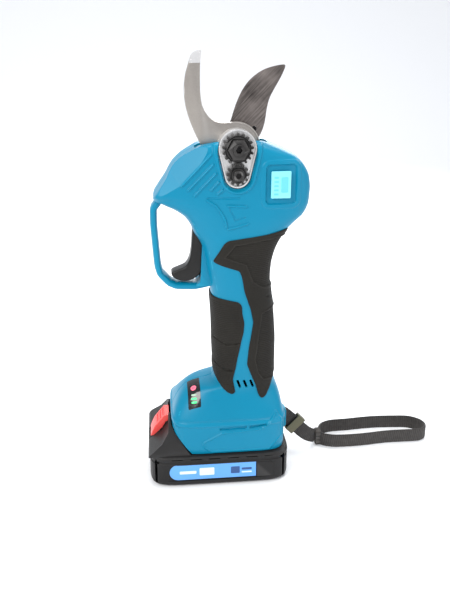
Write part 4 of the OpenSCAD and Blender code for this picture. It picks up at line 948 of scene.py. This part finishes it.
# ---- Light panel ----
# A gloss black window set flush in the base, with a ringed button, one faint and two lit bars.
# The button moves in the window; the bars stand a little proud of it.
window_gloss = finish("window_gloss", (0.006, 0.006, 0.007), 0.09, mottle=0.1, grain=2500, bump=0.004,
                      rough_spread=0.03)
ring_red = finish("ring_red", (0.9, 0.16, 0.24), 0.35, mottle=0.05, grain=2000, bump=0.01,
                  Emission_Color=(0.9, 0.12, 0.2, 1), Emission_Strength=0.5)
bar_green = finish("bar_green", (0.05, 0.75, 0.2), 0.3, mottle=0.05, grain=2000, bump=0.01,
                   Emission_Color=(0.05, 0.85, 0.25, 1), Emission_Strength=0.9)
bar_faint = finish("bar_faint", (0.4, 0.55, 0.42), 0.35, mottle=0.05, grain=2000, bump=0.01)
window = tool_piece("light_window", *closed_half(housing_grid(np.arange(58, 77.5, 0.4), -1, 0.3, 220), -1))
window_shape = rounded([(-23.6, -25.2), (-14.0, -25.2), (-14.0, -1.2), (-23.6, -1.2)], 0.9)
n = len(window_shape)
window_prism = tool_piece("cutter", [(x, y, z) for z in (50, 90) for x, y in window_shape],
                          [tuple(range(n)), tuple(reversed(range(n, 2 * n)))]
                          + [(i, n + i, n + (i + 1) % n, (i + 1) % n) for i in range(n)])
combine(window, [window_prism], "INTERSECT")
combine(window, [tool_piece("cutter", *closed_half(housing_grid(np.arange(50, 76, 0.8), -1, -1.2, 120), -1))],
        "DIFFERENCE")
dressed(window, window_gloss, 40)
bpy.context.view_layer.update()


def on_window(x, y):
    """The point of the window's face over this place, and the direction it faces."""
    hit, at, facing, index = window.ray_cast(Vector((x, y, 100)) * 0.001, Vector((0, 0, -1)))
    return at * 1000, facing


def pad_on_window(name, y, width, height, lift, material, hole=0.0):
    """A rounded pad, or a ring, lying on the window's face."""
    centre, facing = on_window(-19.0, y)
    across = Vector((1, 0, 0))
    along = facing.cross(across).normalized()
    across = along.cross(facing).normalized()
    rings = []
    steps = 40
    for shrink, up in ((0, -0.3), (0, lift * 0.6), (0.12, lift), (None, lift)):
        ring = []
        for k in range(steps):
            a = 2 * math.pi * k / steps
            c, s = math.cos(a), math.sin(a)
            e = 0.45 if not hole else 1.0
            r = 1 - (shrink or 0)
            if shrink is None:
                r = hole
            ring.append(centre + across * (math.copysign(abs(c) ** e, c) * width / 2 * r)
                        + along * (math.copysign(abs(s) ** e, s) * height / 2 * r) + facing * up)
        rings.append(ring)
    if hole:
        rings.append([q - facing * (lift + 0.3) for q in rings[-1]])
    points = [q for ring in rings for q in ring]
    faces = ring_faces(len(rings), steps)
    if hole:
        j = len(rings) - 1
        faces += [(j * steps + k, j * steps + (k + 1) % steps, (k + 1) % steps, k) for k in range(steps)]
    else:
        points = points[:3 * steps]
        faces = faces[:2 * steps] + [tuple(range(2 * steps, 3 * steps)), tuple(reversed(range(steps)))]
    made = tool_piece(name, points, faces)
    made.data.materials.append(material)
    smooth_up(made, 50)
    return made


button_ring = pad_on_window("button_ring", -13.2, 4.6, 4.6, 0.35, ring_red, 0.42)
button_dot = pad_on_window("button_dot", -13.2, 1.1, 1.1, 0.3, ring_red)
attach(button_ring, "power_button")
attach(button_dot, "power_button")
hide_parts("power_button")
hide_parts("power_button")
for name, y, paint in (("bar_top", -18.2, bar_faint), ("bar_mid", -20.3, bar_green),
                       ("bar_low", -22.3, bar_green)):
    bar = pad_on_window(name, y, 4.2, 1.5, 0.22, paint)
    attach(bar, "tool")
    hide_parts("led_bars")
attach(window, "tool")
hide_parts("led_panel")

# ---- Badge ----
# A bright film stuck in a recess of the head.
# Plain bars and a block are raised on it as its print.
badge_film = finish("badge_film", (0.22, 0.72, 0.80), 0.32, mottle=0.06, grain=1600, bump=0.02)
badge_ink = finish("badge_ink", (0.12, 0.55, 0.64), 0.4, mottle=0.1, grain=1600, bump=0.02)
badge_low, badge_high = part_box("badge")
bx0, bx1, bz0, bz1 = (v * 1000 for v in (badge_low.x, badge_high.x, badge_low.z, badge_high.z))
by = badge_low.y * 1000
badge_plate = pillow("badge_plate", rounded([(bx0, bz0), (bx1, bz0), (bx1, bz1), (bx0, bz1)], 0.8),
                     by, by + 1.1, 0.25, badge_film)
marks = [plate(rounded([(bx0 + 2, bz0 + 2.2 + 2.9 * k), (bx0 + 5.2, bz0 + 2.2 + 2.9 * k),
                        (bx0 + 5.2, bz0 + 3.6 + 2.9 * k), (bx0 + 2, bz0 + 3.6 + 2.9 * k)], 0.3),
               by - 0.12, by + 0.5) for k in range(5)]
block = rounded([(bx0 + 7, bz0 + 4), (bx1 - 2, bz0 + 4), (bx1 - 2, bz1 - 4), (bx0 + 7, bz1 - 4)], 1)
marks.append(plate(block, by - 0.12, by + 0.5))
badge_marks = combine(marks[0], marks[1:], "UNION")
badge_marks.name = "badge_marks"
badge_marks.data.materials.append(badge_ink)
for part in (badge_plate, badge_marks):
    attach(part, "tool")
    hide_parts("badge")

# ---- Battery ----
# A black nylon tub of cells with a ledge and a recess for its label, its top, and a red latch.
# It slides on from the front, and the latch holds it; four screws close it from below.
battery_black = finish("battery_black", (0.014, 0.0135, 0.0135), 0.44, mottle=0.25, patch=30, grain=2000,
                       bump=0.06, rough_spread=0.14, wear=(0.055, 0.053, 0.052), Specular_IOR_Level=0.2)
tub_low, tub_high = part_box("battery_tub")
tub_half_x = (tub_high.x - tub_low.x) * 500
tub_half_y = (tub_high.y - tub_low.y) * 500
tub_top = tub_high.z * 1000


def tub_solid(levels, inset, count=160):
    """A closed rounded tub from heights and insets."""
    rings = []
    for z, d in levels:
        near, far = (section_line(-tub_half_x + d + inset, tub_half_x - d - inset, tub_half_y - d - inset,
                                  7, side, count) for side in (-1, 1))
        rings.append([(x, y, z) for x, y in near] + [(x, y, z) for x, y in far[::-1][1:-1]])
    n = len(rings[0])
    faces = ring_faces(len(rings), n)
    faces += [tuple(range(n)), tuple((len(rings) - 1) * n + i for i in reversed(range(n)))]
    return [p for ring in rings for p in ring], faces


tub_levels = [(0, 3.4), (0.4, 2.3), (1.1, 1.35), (2.1, 0.65), (3.4, 0.2), (5, 0), (12, 0.1), (19.4, 0.1),
              (19.9, 0.1), (20.4, 0.6), (21.6, 0.7), (22.1, 0.7), (22.6, 0.1), (23.2, 0.0), (24.6, 0.1),
              (25.4, 0.5), (tub_top, 1.5)]
tub = tool_piece("battery_body", *tub_solid(tub_levels, 0))
recess = rounded([(-44.4, 8), (-41.5, 5.2), (42.3, 5.2), (42.3, 17.5), (40, 19.4), (-40, 19.4),
                  (-44.4, 16)], 1.2)
tub_cuts = [plate(recess, -40, -tub_half_y + 0.75),
            plate([(-x, z) for x, z in recess], tub_half_y - 0.75, 40)]
tub_cuts.append(brick((-tub_half_x + 4, -tub_half_y + 3.2, 2.2),
                      (tub_half_x - 4, tub_half_y - 3.2, tub_top + 1)))
for k in range(6):
    notch = rounded(bar_between((-38 + 14.5 * k, 24.2), (-29 + 14.5 * k, 24.2), 1.1), 0.4)
    tub_cuts.append(plate(notch, -40, -tub_half_y + 1.0))
for x in (-tub_half_x + 8, tub_half_x - 8):
    for y in (-tub_half_y + 8, tub_half_y - 8):
        well = peg(x, 0, 2.6, -1, 1.5)
        well.data.transform(Matrix(((1, 0, 0, 0), (0, 0, 1, y * 0.001), (0, 1, 0, 0), (0, 0, 0, 1))))
        tub_cuts.append(well)
combine(tub, tub_cuts, "DIFFERENCE")
dressed(tub, battery_black, 38)
step_bar = pillow("tub_step", rounded([(28.6, 5.6), (41.6, 5.6), (41.6, 17), (39.6, 19), (28.6, 19)], 1),
                  -tub_half_y + 0.25, -tub_half_y + 1.0, 0.2, battery_black)
for part in (tub, step_bar):
    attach(part, "battery")
    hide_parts("battery_tub")
soften("battery_top", battery_black, 0.5)

label_film = finish("label_film", (0.115, 0.36, 0.82), 0.36, mottle=0.06, grain=1800, bump=0.02)
label_pale = finish("label_pale", (0.68, 0.80, 0.93), 0.36, mottle=0.05, grain=1800, bump=0.02)
label_dark = finish("label_dark", (0.02, 0.07, 0.22), 0.36, mottle=0.05, grain=1800, bump=0.02)
label_low, label_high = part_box("battery_label")
lx0, lx1, lz0, lz1 = (v * 1000 for v in (label_low.x, label_high.x, label_low.z, label_high.z))
ly = label_low.y * 1000
label_shape = ([(lx0 + 6.8 - 6.8 * math.cos(a), (lz0 + lz1) / 2 + (lz1 - lz0) / 2 * math.sin(a))
                for a in np.linspace(math.pi / 2, -math.pi / 2, 16)] + [(lx1, lz0), (lx1, lz1)])
label = pillow("battery_film", label_shape, ly, ly + 0.45, 0.1, label_film, 2)
prints = []
for x0, x1, z0, z1, paint in ((-32, -19, 11.4, 14.0, label_pale), (-16.5, -5, 9.6, 16.2, label_pale),
                              (8, 15, 9.8, 16, label_dark), (16.5, 24.5, 12.6, 14.6, label_dark),
                              (16.5, 24.5, 10, 11.2, label_pale)):
    mark = pillow("label_mark", rounded([(x0, z0), (x1, z0), (x1, z1), (x0, z1)], 0.7), ly - 0.06, ly + 0.2,
                  0.05, paint, 2)
    prints.append(mark)
for part in [label] + prints:
    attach(part, "battery")
    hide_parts("battery_label")

latch_red = finish("latch_red", (0.86, 0.035, 0.03), 0.42, mottle=0.08, grain=2200, bump=0.02,
                   wear=(0.95, 0.25, 0.22))
soften("battery_latch", latch_red, 0.5)
cell_sleeve = finish("cell_sleeve", (0.05, 0.2, 0.5), 0.35, mottle=0.08, grain=2000, bump=0.02)
soften("cells", cell_sleeve, 0.3)
